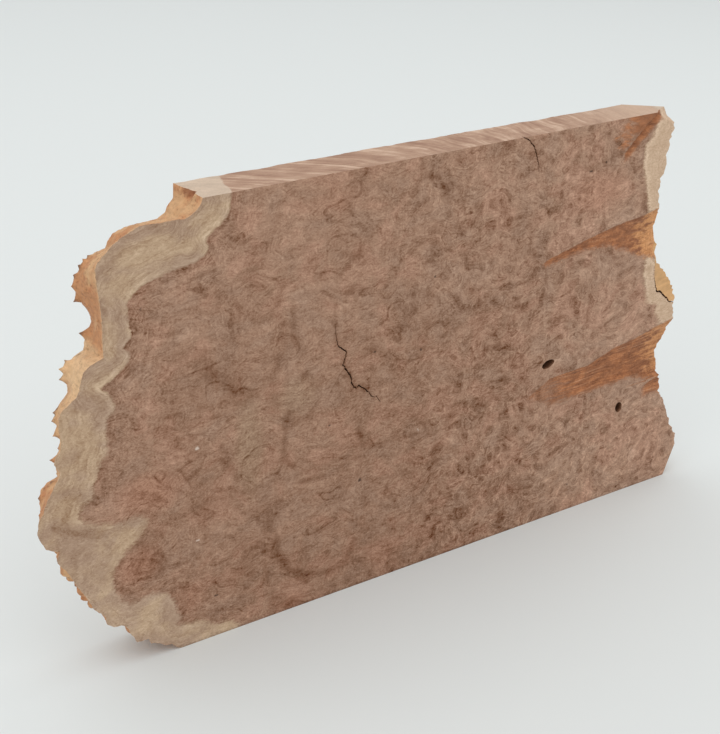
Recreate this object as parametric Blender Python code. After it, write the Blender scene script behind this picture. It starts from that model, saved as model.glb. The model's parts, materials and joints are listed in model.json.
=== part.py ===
"""Slab of mallee burl, sawn flat on both faces and along its top and base, with its two ends left natural.

Lengths are in millimetres until the mesh is made. x runs along the slab from the left end of its base,
y from the front face to the back face, and z up from the base. The left end is a debarked burl surface
with thorns, the right end a craggy one with weathered flutes that run out onto the front face.
"""

import math
import random

import bmesh
import bpy
from mathutils import Matrix, Vector, noise
from mathutils.geometry import delaunay_2d_cdt

MM = 0.001

# Driving dimensions
HEIGHT = 239.0
THICKNESS = 28.0
THINNING = 0.013
BASE_LEFT = 2.0
BASE_RIGHT = 341.0
MIDDLE_X = 141.0
MIDDLE_Y = 14.36

# Fineness of the natural edges, and how many columns away their facing direction is read
ROWS = 11
LONGEST_STEP = 2.4
RIM_STEP = 7.0
FACING_REACH = 3
SAME_POINT = 1e-5

# Relief of the natural edges
SWELL = 1.0
SWELL_LENGTH = 17.0
BULGE_BLEND = 4
RIPPLE = 0.7
RIPPLE_LENGTH = 6.0
RIPPLE_SHIFT = Vector((31.0, 0.0, 0.0))
END_FADE = 7.0
THORN_POWER = 1.5
FIRST_THORN_ROW = 2

# Colour of the sawn burl
WOOD_COLOUR = (0.33, 0.19, 0.125, 1.0)
WOOD_ROUGHNESS = 0.72

# Each natural edge runs down in stretches: how far it bulges between the faces, then its line on the
# front face and its line on the back face
LEFT_EDGE = (
    (
        -0.6,
        ((27, HEIGHT), (26, 236.5), (24, 234), (21, 232), (17.5, 230.5), (13, 231), (6.5, 231), (-2, 231.5),
         (-5, 231.5), (-8.5, 230), (-13.5, 228), (-18.5, 225), (-22.5, 221.5), (-26, 218.5), (-27.5, 215.5)),
        ((25.5, HEIGHT), (25, 232), (21.5, 228), (20.5, 225.5), (16, 223), (5, 222.5), (-0.5, 222), (-6.5, 220),
         (-9.5, 216.5), (-11, 213), (-16, 212.5), (-20, 210.5), (-24, 206), (-27, 201.5)),
    ),
    (
        0.8,
        ((-27.5, 215.5), (-27.5, 211), (-27, 203), (-26.5, 195), (-26.5, 186), (-27, 178), (-27, 172.5)),
        ((-27, 201.5), (-27, 194), (-25, 190), (-21.5, 184), (-20.5, 179), (-22.5, 175), (-25, 169.5),
         (-25.5, 165.5)),
    ),
    (
        0.6,
        ((-27, 172.5), (-29, 171.5), (-34, 170), (-37.5, 167), (-39, 163), (-40, 159), (-41.5, 156), (-44.5, 154),
         (-47.5, 152), (-50, 150), (-51, 147.5)),
        ((-25.5, 165.5), (-30, 163.5), (-34, 160), (-36.5, 155), (-35.5, 150), (-35, 146), (-38, 142.5),
         (-40.5, 140)),
    ),
    (
        -0.8,
        ((-51, 147.5), (-51.5, 142.5), (-51, 135), (-52, 130.5), (-54.5, 128.5), (-55.5, 125), (-53, 120),
         (-53.5, 118), (-55.5, 115), (-58, 111), (-60.5, 107), (-62, 104), (-63, 101), (-65.5, 98), (-67, 91),
         (-65.5, 86.5), (-63.5, 82)),
        ((-40.5, 140), (-42.5, 136), (-42.5, 130), (-41.5, 126), (-41.5, 118), (-44.5, 113), (-45, 107),
         (-43.5, 102.5), (-50, 100.5), (-54, 97), (-55, 90), (-54, 82), (-52, 76)),
    ),
    (
        0.0,
        ((-63.5, 82), (-60.5, 80), (-57, 78.5), (-58, 76), (-59, 74.5), (-58, 71.5), (-56, 68.5), (-54.5, 66.5),
         (-53, 63), (-51.5, 59.5), (-50.5, 57), (-48.5, 53), (-46.5, 49.5), (-44.5, 44.5), (-43, 40.5),
         (-40, 37.5), (-37, 33.5), (-37, 29.5), (-33.5, 26.5), (-29.5, 26), (-27, 24.5), (-25.5, 21.5), (-25, 19),
         (-23, 16), (-22, 13), (-20, 12.5), (-15.5, 12.5), (-14.5, 9.5), (-10.5, 8), (-6.5, 5), (-3, 4.5),
         (-0.5, 1.5), (BASE_LEFT, 0)),
        ((-52, 76), (-49, 68), (-48, 60), (-43, 52), (-41, 44), (-36, 38), (-32, 29), (-25, 24), (-19, 15),
         (-11, 11), (-5, 4), (4, 0)),
    ),
)
RIGHT_EDGE = (
    (
        1.0,
        ((320, HEIGHT), (320.5, 236), (321, 233.5), (321.5, 231.5), (322, 228), (320.5, 223.5), (319.5, 220.5),
         (319.5, 217.5), (317.5, 213), (318.5, 208.5), (317.5, 204.5), (315.5, 200), (315, 194.5), (315, 188),
         (316, 183.5)),
        ((303, HEIGHT), (306, 232), (308.5, 224), (306, 214), (303, 205), (301.5, 196), (303, 186)),
    ),
    (
        1.0,
        ((316, 183.5), (317.3, 178.5), (317, 175), (316, 168.5), (317.5, 163.5), (319.5, 158.5), (316.5, 153.5),
         (317, 150.5), (319, 147), (322, 146), (326.5, 141.5), (329.5, 137.3), (333.3, 133.5), (336, 128.5),
         (338, 123), (338.5, 121), (335, 120)),
        ((303, 186), (300, 176), (298.5, 167), (301, 158), (306, 149), (312, 142), (319, 133), (322, 124)),
    ),
    (
        1.0,
        ((335, 120), (334.5, 118), (336.5, 111.5), (336.5, 107), (334.5, 103.8), (334.5, 99.8), (332.5, 95.5),
         (330, 93), (327, 87.3), (328.3, 82.4), (328.4, 77.3), (327, 76.2), (328.5, 73.5), (331.5, 69),
         (331.5, 64.5), (329.5, 62.5)),
        ((322, 124), (323.5, 115), (320, 106), (313.5, 97), (310, 88), (312, 79), (317, 71), (320, 62)),
    ),
    (
        1.0,
        ((329.5, 62.5), (331.5, 59.5), (334.5, 55.5), (335.5, 51.5), (338.5, 46.5), (340.5, 43), (341.5, 39.5),
         (341.5, 36), (345, 33), (346, 29.5), (348.5, 27.5), (348, 23), (349, 20)),
        ((320, 62), (325, 53), (331, 45), (336, 37), (340, 30), (344, 22), (346.6, 14)),
    ),
)

# Thorns and lobes that show along the left end: x, z and y of the tip, and how far the root spreads
LEFT_TIPS = (
    (-15, 213.5, 25, 4.5), (-21, 213.2, 25, 3.2), (-23.8, 212.3, 25, 3.2), (-26.3, 209.7, 25, 3.2),
    (-28.7, 205, 25, 3.6), (-30.5, 200, 25, 6.0), (-29.8, 191.8, 25, 3.6), (-28.9, 176.3, 25, 4.6),
    (-29.4, 165, 25, 4.0), (-37.1, 164.5, 25, 4.0), (-40.7, 161, 25, 4.4), (-40.7, 155, 25, 4.0),
    (-43.8, 141.5, 23, 3.4), (-46, 139.8, 23, 3.2), (-47.3, 136, 23, 4.2), (-47.4, 128, 23, 4.4),
    (-45.3, 120.5, 23, 2.8), (-50.2, 116, 23, 4.2), (-50.4, 104, 23, 3.4), (-54.2, 101.5, 23, 4.2),
    (-57.4, 97, 23, 4.2), (-55.8, 60, 10, 5.0), (-53, 56.2, 10, 3.6), (-48, 46.5, 10, 4.4), (-46.6, 42, 10, 3.2),
    (-42.6, 35.5, 10, 3.6), (-23.5, 14, 10, 4.2), (-17, 6.5, 10, 3.6),
)

# Scattered pips: how far apart they stand, their height and the spread of their roots, and the rows that
# they start from on each side; on the left they grow low down only
PIP_SPACING = 8.0
PIP_GAPS = (0.35, 0.8)
PIP_HEIGHTS = (1.2, 3.2)
PIP_SPREADS = (2.6, 4.2)
LEFT_SEED = 7
RIGHT_SEED = 12
LEFT_PIP_ROW = 6
RIGHT_PIP_ROW = 2
LEFT_PIPS_BELOW = 66.0

# Weathered flutes in the front face, in stations: x, lower edge, upper edge, greatest depth
FLUTES = (
    ((234, 165.8, 166.6, 0.0), (260, 169.0, 172.7, 0.7), (280, 166.7, 176.7, 1.4), (292, 161.7, 178.5, 2.0),
     (305, 155.5, 179.8, 2.9), (320, 152.0, 183.0, 4.0)),
    ((232, 84.0, 88.0, 0.0), (242, 78.0, 93.0, 0.5), (270, 78.7, 94.1, 1.0), (291, 79.2, 100.7, 1.7),
     (306, 80.0, 102.5, 2.6), (320, 75.0, 106.0, 3.8), (337, 73.0, 109.0, 4.6)),
    ((306, 63.0, 65.0, 0.0), (314, 64.5, 67.5, 0.6), (322, 66.0, 71.0, 1.2), (332, 63.0, 73.5, 2.2)),
    ((283, 214.5, 216.0, 0.0), (290, 219.5, 223.0, 0.8), (300, 227.5, 232.0, 1.4), (309, 233.8, 239.0, 1.8),
     (312, 235.5, 246.0, 3.5), (316, 234.2, 250.0, 6.5), (322, 231.5, 252.0, 9.0)),
    ((317, 136.0, 157.0, 0.0), (320, 130.0, 162.0, 1.2), (327, 125.0, 152.0, 2.4), (339, 118.0, 128.0, 3.2)),
)
FLUTE_POWER = 0.7
FLUTE_STEP = 6.0
FLUTE_SHARES = (0.0, 0.12, 0.35, 0.65, 0.88, 1.0)
RIM_CLEARANCE = 1.2

# Drying cracks in the front face: their line in x and z, then width and depth
CRACKS = (
    (((97.4, 160), (97.5, 154), (98.9, 148), (100.6, 146.3), (104, 143), (102.8, 139.4), (101.9, 136.3),
      (106.3, 129.4), (106.8, 125.6), (108.2, 122.2), (111, 120.4)), 0.9, 6.0),
    (((111.3, 123.2), (114.4, 120), (117.5, 116.9), (118.8, 114.7), (120.6, 113.3), (122.2, 113.6),
      (125, 109)), 0.8, 5.0),
    (((216.5, 240), (220, 236), (222.5, 231), (223.5, 227.5), (224.5, 222.5)), 0.8, 5.0),
    (((317.5, 139.5), (319, 134.5), (320.5, 129.8), (323.5, 129), (327, 125.5), (329.5, 123.5), (331, 121),
      (338, 119.5)), 1.4, 7.0),
)
CRACK_STAND = 1.0
CRACK_END = 0.25

# Borer holes in the front face: centre x and z, width, height, tilt in degrees, depth
HOLES = (
    (239.2, 103.4, 8.0, 4.4, 12.0, 15.0),
    (297.6, 60.2, 4.8, 6.0, 0.0, 13.0),
)
HOLE_SIDES = 12
HOLE_TAPER = 0.75


def clear_scene():
    """Start from an empty scene."""
    for obj in list(bpy.data.objects):
        bpy.data.objects.remove(obj, do_unlink=True)


def collection(name, hidden=False):
    """A new collection, hidden from renders if it holds cutters."""
    made = bpy.data.collections.new(name)
    made.hide_render = hidden
    bpy.context.scene.collection.children.link(made)
    return made


def burl_material():
    """The sawn burl's plain base colour."""
    material = bpy.data.materials.new("burl_wood")
    material.use_nodes = True
    shader = material.node_tree.nodes["Principled BSDF"]
    shader.inputs["Base Color"].default_value = WOOD_COLOUR
    shader.inputs["Roughness"].default_value = WOOD_ROUGHNESS
    shader.inputs["Metallic"].default_value = 0.0
    material.diffuse_color = WOOD_COLOUR
    return material


def divided(points, longest):
    """The same open line, with its long straight runs divided evenly."""
    line = [Vector(points[0])]
    for start, end in zip(points, points[1:]):
        start, end = Vector(start), Vector(end)
        parts = max(1, math.ceil((end - start).length / longest))
        line += [start.lerp(end, part / parts) for part in range(1, parts + 1)]
    return line


def run_lengths(line):
    """How far along the line each of its points lies."""
    lengths = [0.0]
    for start, end in zip(line, line[1:]):
        lengths.append(lengths[-1] + (end - start).length)
    return lengths


def point_along(points, share):
    """The point at this share of an open line's length."""
    line = [Vector(point) for point in points]
    lengths = run_lengths(line)
    wanted = share * lengths[-1]
    for index in range(1, len(line)):
        if wanted <= lengths[index] or index == len(line) - 1:
            span = lengths[index] - lengths[index - 1]
            return line[index - 1].lerp(line[index], min(1.0, (wanted - lengths[index - 1]) / span))


def edge_columns(edge):
    """Pairs of a front point and a back point, down one natural edge, and how far each bulges."""
    columns = []
    bulges = []
    for bulge, front, back in edge:
        line = divided(front, LONGEST_STEP)
        lengths = run_lengths(line)
        pairs = [(point, point_along(back, run / lengths[-1])) for point, run in zip(line, lengths)]
        columns += pairs if not columns else pairs[1:]
        bulges += [bulge] * (len(columns) - len(bulges))
    return columns, bulges


def between(stations, x):
    """Lower edge, upper edge and depth of a flute at this x."""
    for first, second in zip(stations, stations[1:]):
        if first[0] <= x <= second[0]:
            share = (x - first[0]) / (second[0] - first[0])
            return [a + share * (b - a) for a, b in zip(first[1:], second[1:])]
    return None


def front_depth(x, z):
    """How far the front surface lies behind the sawn plane."""
    depth = 0.0
    for stations in FLUTES:
        section = between(stations, x)
        if section and section[0] < z < section[1]:
            low, high, deepest = section
            across = 2 * (z - low) / (high - low) - 1
            depth = max(depth, deepest * (1 - across * across) ** FLUTE_POWER)
    return depth


def outward(columns, index, side):
    """The direction that the natural edge faces at this column, in x and z."""
    first = columns[max(0, index - FACING_REACH)]
    last = columns[min(len(columns) - 1, index + FACING_REACH)]
    along = (last[0] + last[1] - first[0] - first[1]).normalized()
    return side * Vector((-along.y, along.x))


def back_plane(x):
    """Where the back face lies: the slab thins a little towards its right end."""
    return THICKNESS - THINNING * x


def pips(base, faces_out, seed, first_row, below, tips):
    """Scattered pips of one edge, each as its tip and the spread of its root."""
    draw = random.Random(seed)
    found = []
    run = 0.0
    due = PIP_SPACING / 2
    for index in range(1, len(base) - 1):
        run += (base[index][0] - base[index - 1][0]).length
        if run < due:
            continue
        due += PIP_SPACING * draw.uniform(*PIP_GAPS)
        row = draw.randint(first_row, ROWS - 1)
        root = base[index][row]
        height = draw.uniform(*PIP_HEIGHTS)
        spread = draw.uniform(*PIP_SPREADS)
        near = any((root - tip).length < spread + reach for tip, reach in tips)
        if root.z > below or near:
            continue
        out = faces_out[index]
        found.append((root + height * Vector((out.x, 0, out.y)), spread))
    return found


def natural_edge(edge, side, listed, *scatter):
    """Columns of points across the thickness, down one natural edge, with its swells, ripples and thorns."""
    columns, bulges = edge_columns(edge)
    faces_out = [outward(columns, index, side) for index in range(len(columns))]
    runs = run_lengths([front for front, back in columns])
    base = []
    fades = []
    for index, ((front, back), out, run) in enumerate(zip(columns, faces_out, runs)):
        rim = front_depth(front.x, front.y)
        near = bulges[max(0, index - BULGE_BLEND):index + BULGE_BLEND + 1]
        bulge = sum(near) / len(near)
        end_fade = min(1.0, run / END_FADE, (runs[-1] - run) / END_FADE)
        column = []
        for row in range(ROWS + 1):
            share = row / ROWS
            flat = front.lerp(back, share)
            place = Vector((flat.x, rim + share * (back_plane(flat.x) - rim), flat.y))
            swell = bulge + SWELL * noise.noise(place / SWELL_LENGTH)
            ripple = RIPPLE * noise.noise(place / RIPPLE_LENGTH + RIPPLE_SHIFT)
            proud = end_fade * (swell * math.sin(math.pi * share) + ripple * min(1.0, 4 * share * (1 - share)))
            column.append(place + proud * Vector((out.x, 0, out.y)))
        base.append(column)
        fades.append(end_fade)
    tips = [(Vector((x, y, z)), spread) for x, z, y, spread in listed]
    tips += pips(base, faces_out, *scatter, tips)
    return raised(base, fades, tips)


def raised(base, fades, tips):
    """The columns of points, drawn out to the thorns' tips."""
    pulls = [[Vector() for point in column] for column in base]
    for tip, spread in tips:
        inner = [(column, row) for column in range(1, len(base) - 1) for row in range(FIRST_THORN_ROW, ROWS)]
        root = min(inner, key=lambda place: (base[place[0]][place[1]] - tip).length)
        start = base[root[0]][root[1]]
        for column, points in enumerate(base):
            for row in range(1, ROWS + 1):
                share = 1 - (points[row] - start).length / spread
                if share <= 0:
                    continue
                pull = fades[column] * share ** THORN_POWER * (tip - start)
                pull.y = 0.0
                if pull.length > pulls[column][row].length:
                    pulls[column][row] = pull
    return [[point + pull for point, pull in zip(*pair)] for pair in zip(base, pulls)]


def inside(outline, x, z):
    """Whether the point lies inside the outline and clear of it."""
    spot = Vector((x, z))
    crossings = 0
    for start, end in zip(outline, outline[1:] + outline[:1]):
        run = end - start
        share = max(0.0, min(1.0, (spot - start).dot(run) / run.length_squared))
        if (start + share * run - spot).length < RIM_CLEARANCE:
            return False
        if (start.y > z) != (end.y > z) and x < start.x + (z - start.y) * run.x / run.y:
            crossings += 1
    return crossings % 2 == 1


def flute_points(outline):
    """Points of the front face that shape its flutes."""
    found = []
    for stations in FLUTES:
        first, last = stations[0][0], stations[-1][0]
        count = math.ceil((last - first) / FLUTE_STEP)
        for step in range(count + 1):
            x = first + (last - first) * step / count
            low, high, _ = between(stations, x)
            for share in FLUTE_SHARES:
                z = low + share * (high - low)
                crowded = any((Vector((x, z)) - other).length < RIM_CLEARANCE for other in found)
                if inside(outline, x, z) and not crowded:
                    found.append(Vector((x, z)))
    return found


def fill(mesh, loop, extra, depth_at, flip):
    """Fill a flat outline of mesh points with triangles, through extra points set back by depth_at."""
    outline = [Vector((vert.co.x, vert.co.z)) for vert in loop]
    count = len(outline)
    edges = [(index, (index + 1) % count) for index in range(count)]
    places, _, faces, sources, _, _ = delaunay_2d_cdt(outline + extra, edges, [], 1, SAME_POINT)
    verts = []
    for place, source in zip(places, sources):
        if source[0] < count:
            verts.append(loop[source[0]])
        else:
            verts.append(mesh.verts.new((place.x, depth_at(place.x, place.y), place.y)))
    for face in faces:
        corners = [verts[index] for index in face]
        mesh.faces.new(corners[::-1] if flip else corners)


def rim_points(mesh, start, end, depth_at):
    """New points along a long straight rim, between two points of the mesh."""
    count = math.ceil((end.co - start.co).length / RIM_STEP)
    places = [start.co.lerp(end.co, step / count) for step in range(1, count)]
    return [mesh.verts.new((place.x, depth_at(place.x, place.z), place.z)) for place in places]


def slab_mesh():
    """The whole slab as one closed mesh, still without holes and cracks."""
    mesh = bmesh.new()
    left = natural_edge(LEFT_EDGE, -1, LEFT_TIPS, LEFT_SEED, LEFT_PIP_ROW, LEFT_PIPS_BELOW)
    right = natural_edge(RIGHT_EDGE, 1, (), RIGHT_SEED, RIGHT_PIP_ROW, HEIGHT)
    left = [[mesh.verts.new(point) for point in column] for column in left]
    right = [[mesh.verts.new(point) for point in column] for column in right]
    foot = [mesh.verts.new((BASE_RIGHT, back_plane(BASE_RIGHT) * row / ROWS, 0.0)) for row in range(ROWS + 1)]
    for columns, turned in ((left, False), (right + [foot], True)):
        for first, second in zip(columns, columns[1:]):
            for row in range(ROWS):
                corners = [first[row], first[row + 1], second[row + 1], second[row]]
                mesh.faces.new(corners[::-1] if turned else corners)
    rims = {}
    for row, depth_at in ((0, front_depth), (ROWS, lambda x, z: back_plane(x))):
        top = rim_points(mesh, left[0][row], right[0][row], depth_at)
        base = rim_points(mesh, foot[row], left[-1][row], depth_at)
        rims[row] = (top, base)
        down = [column[row] for column in right] + [foot[row]]
        up = [column[row] for column in reversed(left)]
        loop = up + top + down + base
        outline = [Vector((vert.co.x, vert.co.z)) for vert in loop]
        extra = flute_points(outline) if row == 0 else []
        fill(mesh, loop, extra, depth_at, flip=row == ROWS)
    mesh.faces.new(left[0][::-1] + rims[0][0] + right[0] + rims[ROWS][0][::-1])
    mesh.faces.new(foot[::-1] + rims[0][1] + left[-1] + rims[ROWS][1][::-1])
    bmesh.ops.triangulate(mesh, faces=[face for face in mesh.faces if len(face.verts) > 4])
    bmesh.ops.recalc_face_normals(mesh, faces=mesh.faces)
    return mesh


def placed_object(name, mesh, home):
    """Turn millimetres into metres about the slab's base centre and add the object to its collection."""
    mesh.transform(Matrix.Diagonal((MM, MM, MM, 1)) @ Matrix.Translation((-MIDDLE_X, -MIDDLE_Y, 0)))
    data = bpy.data.meshes.new(name)
    mesh.to_mesh(data)
    mesh.free()
    obj = bpy.data.objects.new(name, data)
    home.objects.link(obj)
    return obj


def crack_mesh(line, width, depth):
    """A wedge that follows a crack, open at the front and sharp at its bottom."""
    mesh = bmesh.new()
    points = [Vector(point) for point in line]
    sections = []
    for index, point in enumerate(points):
        along = (points[min(index + 1, len(points) - 1)] - points[max(index - 1, 0)]).normalized()
        taper = CRACK_END + (1 - CRACK_END) * math.sin(math.pi * (index + 0.5) / len(points))
        reach = width / 2 * taper
        side = Vector((-along.y, along.x)) * reach
        back = front_depth(point.x, point.y) + depth * taper
        sections.append([
            mesh.verts.new((point.x + side.x, -CRACK_STAND, point.y + side.y)),
            mesh.verts.new((point.x - side.x, -CRACK_STAND, point.y - side.y)),
            mesh.verts.new((point.x, back, point.y)),
        ])
    for first, second in zip(sections, sections[1:]):
        for corner in range(3):
            after = (corner + 1) % 3
            mesh.faces.new((first[corner], first[after], second[after], second[corner]))
    mesh.faces.new(sections[0][::-1])
    mesh.faces.new(sections[-1])
    bmesh.ops.recalc_face_normals(mesh, faces=mesh.faces)
    return mesh


def hole_mesh(x, z, width, height, tilt, depth):
    """An oval borer hole that narrows as it goes in."""
    mesh = bmesh.new()
    bmesh.ops.create_cone(
        mesh, cap_ends=True, segments=HOLE_SIDES, radius1=HOLE_TAPER / 2, radius2=0.5, depth=depth + CRACK_STAND
    )
    mesh.transform(
        Matrix.Translation((x, (depth - CRACK_STAND) / 2, z))
        @ Matrix.Rotation(-math.radians(tilt), 4, "Y")
        @ Matrix.Diagonal((width, 1, height, 1))
        @ Matrix.Rotation(math.radians(90), 4, "X")
    )
    return mesh


def main():
    clear_scene()
    parts = collection("mallee_burl")
    cutters = collection("cutters", hidden=True)
    slab = placed_object("mallee_burl_slab", slab_mesh(), parts)
    slab.data.materials.append(burl_material())
    shapes = [crack_mesh(*crack) for crack in CRACKS] + [hole_mesh(*hole) for hole in HOLES]
    for number, shape in enumerate(shapes):
        cutter = placed_object(f"cutter_{number}", shape, cutters)
        cutter.hide_render = True
        cutter.display_type = "WIRE"
        cut = slab.modifiers.new(f"cut_{number}", "BOOLEAN")
        cut.operation = "DIFFERENCE"
        cut.object = cutter


main()
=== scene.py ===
"""Looks of the mallee burl slab: burl figure, sapwood, weathered flutes, cracks and natural edges.

Lengths are in millimetres in the slab's own frame until a mesh is made: x along the slab from the left end
of its base, y from the front face to the back face, z up from the base.
"""

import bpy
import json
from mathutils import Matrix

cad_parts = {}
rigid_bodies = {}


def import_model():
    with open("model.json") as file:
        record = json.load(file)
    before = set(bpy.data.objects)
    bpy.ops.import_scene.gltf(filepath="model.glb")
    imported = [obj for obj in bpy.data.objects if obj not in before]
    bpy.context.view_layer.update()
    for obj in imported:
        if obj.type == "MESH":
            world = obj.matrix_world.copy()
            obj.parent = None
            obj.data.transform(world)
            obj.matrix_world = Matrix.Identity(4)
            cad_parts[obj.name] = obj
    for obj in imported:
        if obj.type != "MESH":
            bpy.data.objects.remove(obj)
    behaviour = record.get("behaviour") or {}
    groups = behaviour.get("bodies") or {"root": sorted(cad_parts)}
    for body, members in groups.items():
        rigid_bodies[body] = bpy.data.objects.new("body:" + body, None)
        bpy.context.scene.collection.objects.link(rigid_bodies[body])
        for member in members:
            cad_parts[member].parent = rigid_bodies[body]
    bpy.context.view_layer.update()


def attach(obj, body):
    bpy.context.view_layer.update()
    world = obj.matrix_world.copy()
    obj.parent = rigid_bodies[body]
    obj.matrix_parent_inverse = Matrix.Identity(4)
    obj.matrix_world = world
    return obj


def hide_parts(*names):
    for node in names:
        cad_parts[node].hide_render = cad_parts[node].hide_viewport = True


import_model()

import json
import math
import random

import bmesh
import bpy
import numpy as np
from mathutils import Matrix, Vector, noise
from mathutils.geometry import delaunay_2d_cdt

MM = 0.001

# Driving dimensions, as in the solid
HEIGHT = 239.0
THICKNESS = 28.0
THINNING = 0.013
BASE_LEFT = 2.0
BASE_RIGHT = 341.0
MIDDLE_X = 141.0
MIDDLE_Y = 14.36

# The solid's own fineness, which the scattered pips are placed by
COARSE_ROWS = 11
COARSE_STEP = 2.4
FACING_REACH = 3
BULGE_BLEND = 4

# Fineness here, as a share of the solid's steps, and the spacing of points in the sawn surfaces
FINER = 3
FACE_STEP = 1.35
BACK_STEP = 4.0
END_STEP = 1.8
RIM_CLEARANCE = 0.7
SAME_POINT = 1e-5
SHARP_ANGLE = 38

# Relief of the natural edges
SWELL = 1.0
SWELL_LENGTH = 17.0
RIPPLE = 0.7
RIPPLE_LENGTH = 6.0
RIPPLE_SHIFT = Vector((31.0, 0.0, 0.0))
GRAIN_RELIEF = 0.28
GRAIN_LENGTH = 1.9
END_FADE = 7.0
TEETH = 0.9
TEETH_LENGTH = 3.6
THORN_POWER = 1.5
KNOBS_BELOW = 66.0
KNOB_HEIGHT = 0.8
FIRST_THORN_SHARE = 2 / 11

# The chipped notch at the top left, and the uneven upper rim of the back face
NOTCH = 3.2
NOTCH_HEIGHT = 7.0
NOTCH_MIDDLE = 0.52
NOTCH_WIDTH = 0.2
NOTCH_RELIEF = 0.8
NOTCH_GRAIN = 2.5
RIM_WOBBLE = 1.3
RIM_REACH = 6.0
RIM_WAVE = 13.0
RIM_RIPPLE = 4.0

# Each natural edge runs down in stretches: how far it bulges between the faces, then its line on the
# front face and its line on the back face
LEFT_EDGE = (
    (
        -0.6,
        ((27, HEIGHT), (26, 236.5), (24, 234), (21, 232), (17.5, 230.5), (13, 231), (6.5, 231), (-2, 231.5),
         (-5, 231.5), (-8.5, 230), (-13.5, 228), (-18.5, 225), (-22.5, 221.5), (-26, 218.5),
         (-27.5, 215.5)),
        ((25.5, HEIGHT), (25, 232), (21.5, 228), (20.5, 225.5), (16, 223), (5, 222.5), (-0.5, 222),
         (-6.5, 220), (-9.5, 216.5), (-11, 213), (-16, 212.5), (-20, 210.5), (-24, 206), (-27, 201.5)),
    ),
    (
        0.8,
        ((-27.5, 215.5), (-27.5, 211), (-27, 203), (-26.5, 195), (-26.5, 186), (-27, 178), (-27, 172.5)),
        ((-27, 201.5), (-27, 194), (-25, 190), (-21.5, 184), (-20.5, 179), (-22.5, 175), (-25, 169.5),
         (-25.5, 165.5)),
    ),
    (
        0.6,
        ((-27, 172.5), (-29, 171.5), (-34, 170), (-37.5, 167), (-39, 163), (-40, 159), (-41.5, 156),
         (-44.5, 154), (-47.5, 152), (-50, 150), (-51, 147.5)),
        ((-25.5, 165.5), (-30, 163.5), (-34, 160), (-36.5, 155), (-35.5, 150), (-35, 146), (-38, 142.5),
         (-40.5, 140)),
    ),
    (
        -0.8,
        ((-51, 147.5), (-51.5, 142.5), (-51, 135), (-52, 130.5), (-54.5, 128.5), (-55.5, 125), (-53, 120),
         (-53.5, 118), (-55.5, 115), (-58, 111), (-60.5, 107), (-62, 104), (-63, 101), (-65.5, 98),
         (-67, 91), (-65.5, 86.5), (-63.5, 82)),
        ((-40.5, 140), (-42.5, 136), (-42.5, 130), (-41.5, 126), (-41.5, 118), (-44.5, 113), (-45, 107),
         (-43.5, 102.5), (-50, 100.5), (-54, 97), (-55, 90), (-54, 82), (-52, 76)),
    ),
    (
        0.0,
        ((-63.5, 82), (-60.5, 80), (-57, 78.5), (-58, 76), (-59, 74.5), (-58, 71.5), (-56, 68.5),
         (-54.5, 66.5), (-53, 63), (-51.5, 59.5), (-50.5, 57), (-48.5, 53), (-46.5, 49.5), (-44.5, 44.5),
         (-43, 40.5), (-40, 37.5), (-37, 33.5), (-37, 29.5), (-33.5, 26.5), (-29.5, 26), (-27, 24.5),
         (-25.5, 21.5), (-25, 19), (-23, 16), (-22, 13), (-20, 12.5), (-15.5, 12.5), (-14.5, 9.5),
         (-10.5, 8), (-6.5, 5), (-3, 4.5), (-0.5, 1.5), (BASE_LEFT, 0)),
        ((-52, 76), (-49, 68), (-48, 60), (-43, 52), (-41, 44), (-36, 38), (-32, 29), (-25, 24), (-19, 15),
         (-11, 11), (-5, 4), (4, 0)),
    ),
)
RIGHT_EDGE = (
    (
        1.0,
        ((320, HEIGHT), (320.5, 236), (321, 233.5), (321.5, 231.5), (322, 228), (320.5, 223.5),
         (319.5, 220.5), (319.5, 217.5), (317.5, 213), (318.5, 208.5), (317.5, 204.5), (315.5, 200),
         (315, 194.5), (315, 188), (316, 183.5)),
        ((303, HEIGHT), (306, 232), (308.5, 224), (306, 214), (303, 205), (301.5, 196), (303, 186)),
    ),
    (
        1.0,
        ((316, 183.5), (317.3, 178.5), (317, 175), (316, 168.5), (317.5, 163.5), (319.5, 158.5),
         (316.5, 153.5), (317, 150.5), (319, 147), (322, 146), (326.5, 141.5), (329.5, 137.3),
         (333.3, 133.5), (336, 128.5), (338, 123), (338.5, 121), (335, 120)),
        ((303, 186), (300, 176), (298.5, 167), (301, 158), (306, 149), (312, 142), (319, 133), (322, 124)),
    ),
    (
        1.0,
        ((335, 120), (334.5, 118), (336.5, 111.5), (336.5, 107), (334.5, 103.8), (334.5, 99.8),
         (332.5, 95.5), (330, 93), (327, 87.3), (328.3, 82.4), (328.4, 77.3), (327, 76.2), (328.5, 73.5),
         (331.5, 69), (331.5, 64.5), (329.5, 62.5)),
        ((322, 124), (323.5, 115), (320, 106), (313.5, 97), (310, 88), (312, 79), (317, 71), (320, 62)),
    ),
    (
        1.0,
        ((329.5, 62.5), (331.5, 59.5), (334.5, 55.5), (335.5, 51.5), (338.5, 46.5), (340.5, 43),
         (341.5, 39.5), (341.5, 36), (345, 33), (346, 29.5), (348.5, 27.5), (348, 23), (349, 20)),
        ((320, 62), (325, 53), (331, 45), (336, 37), (340, 30), (344, 22), (346.6, 14)),
    ),
)

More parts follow.
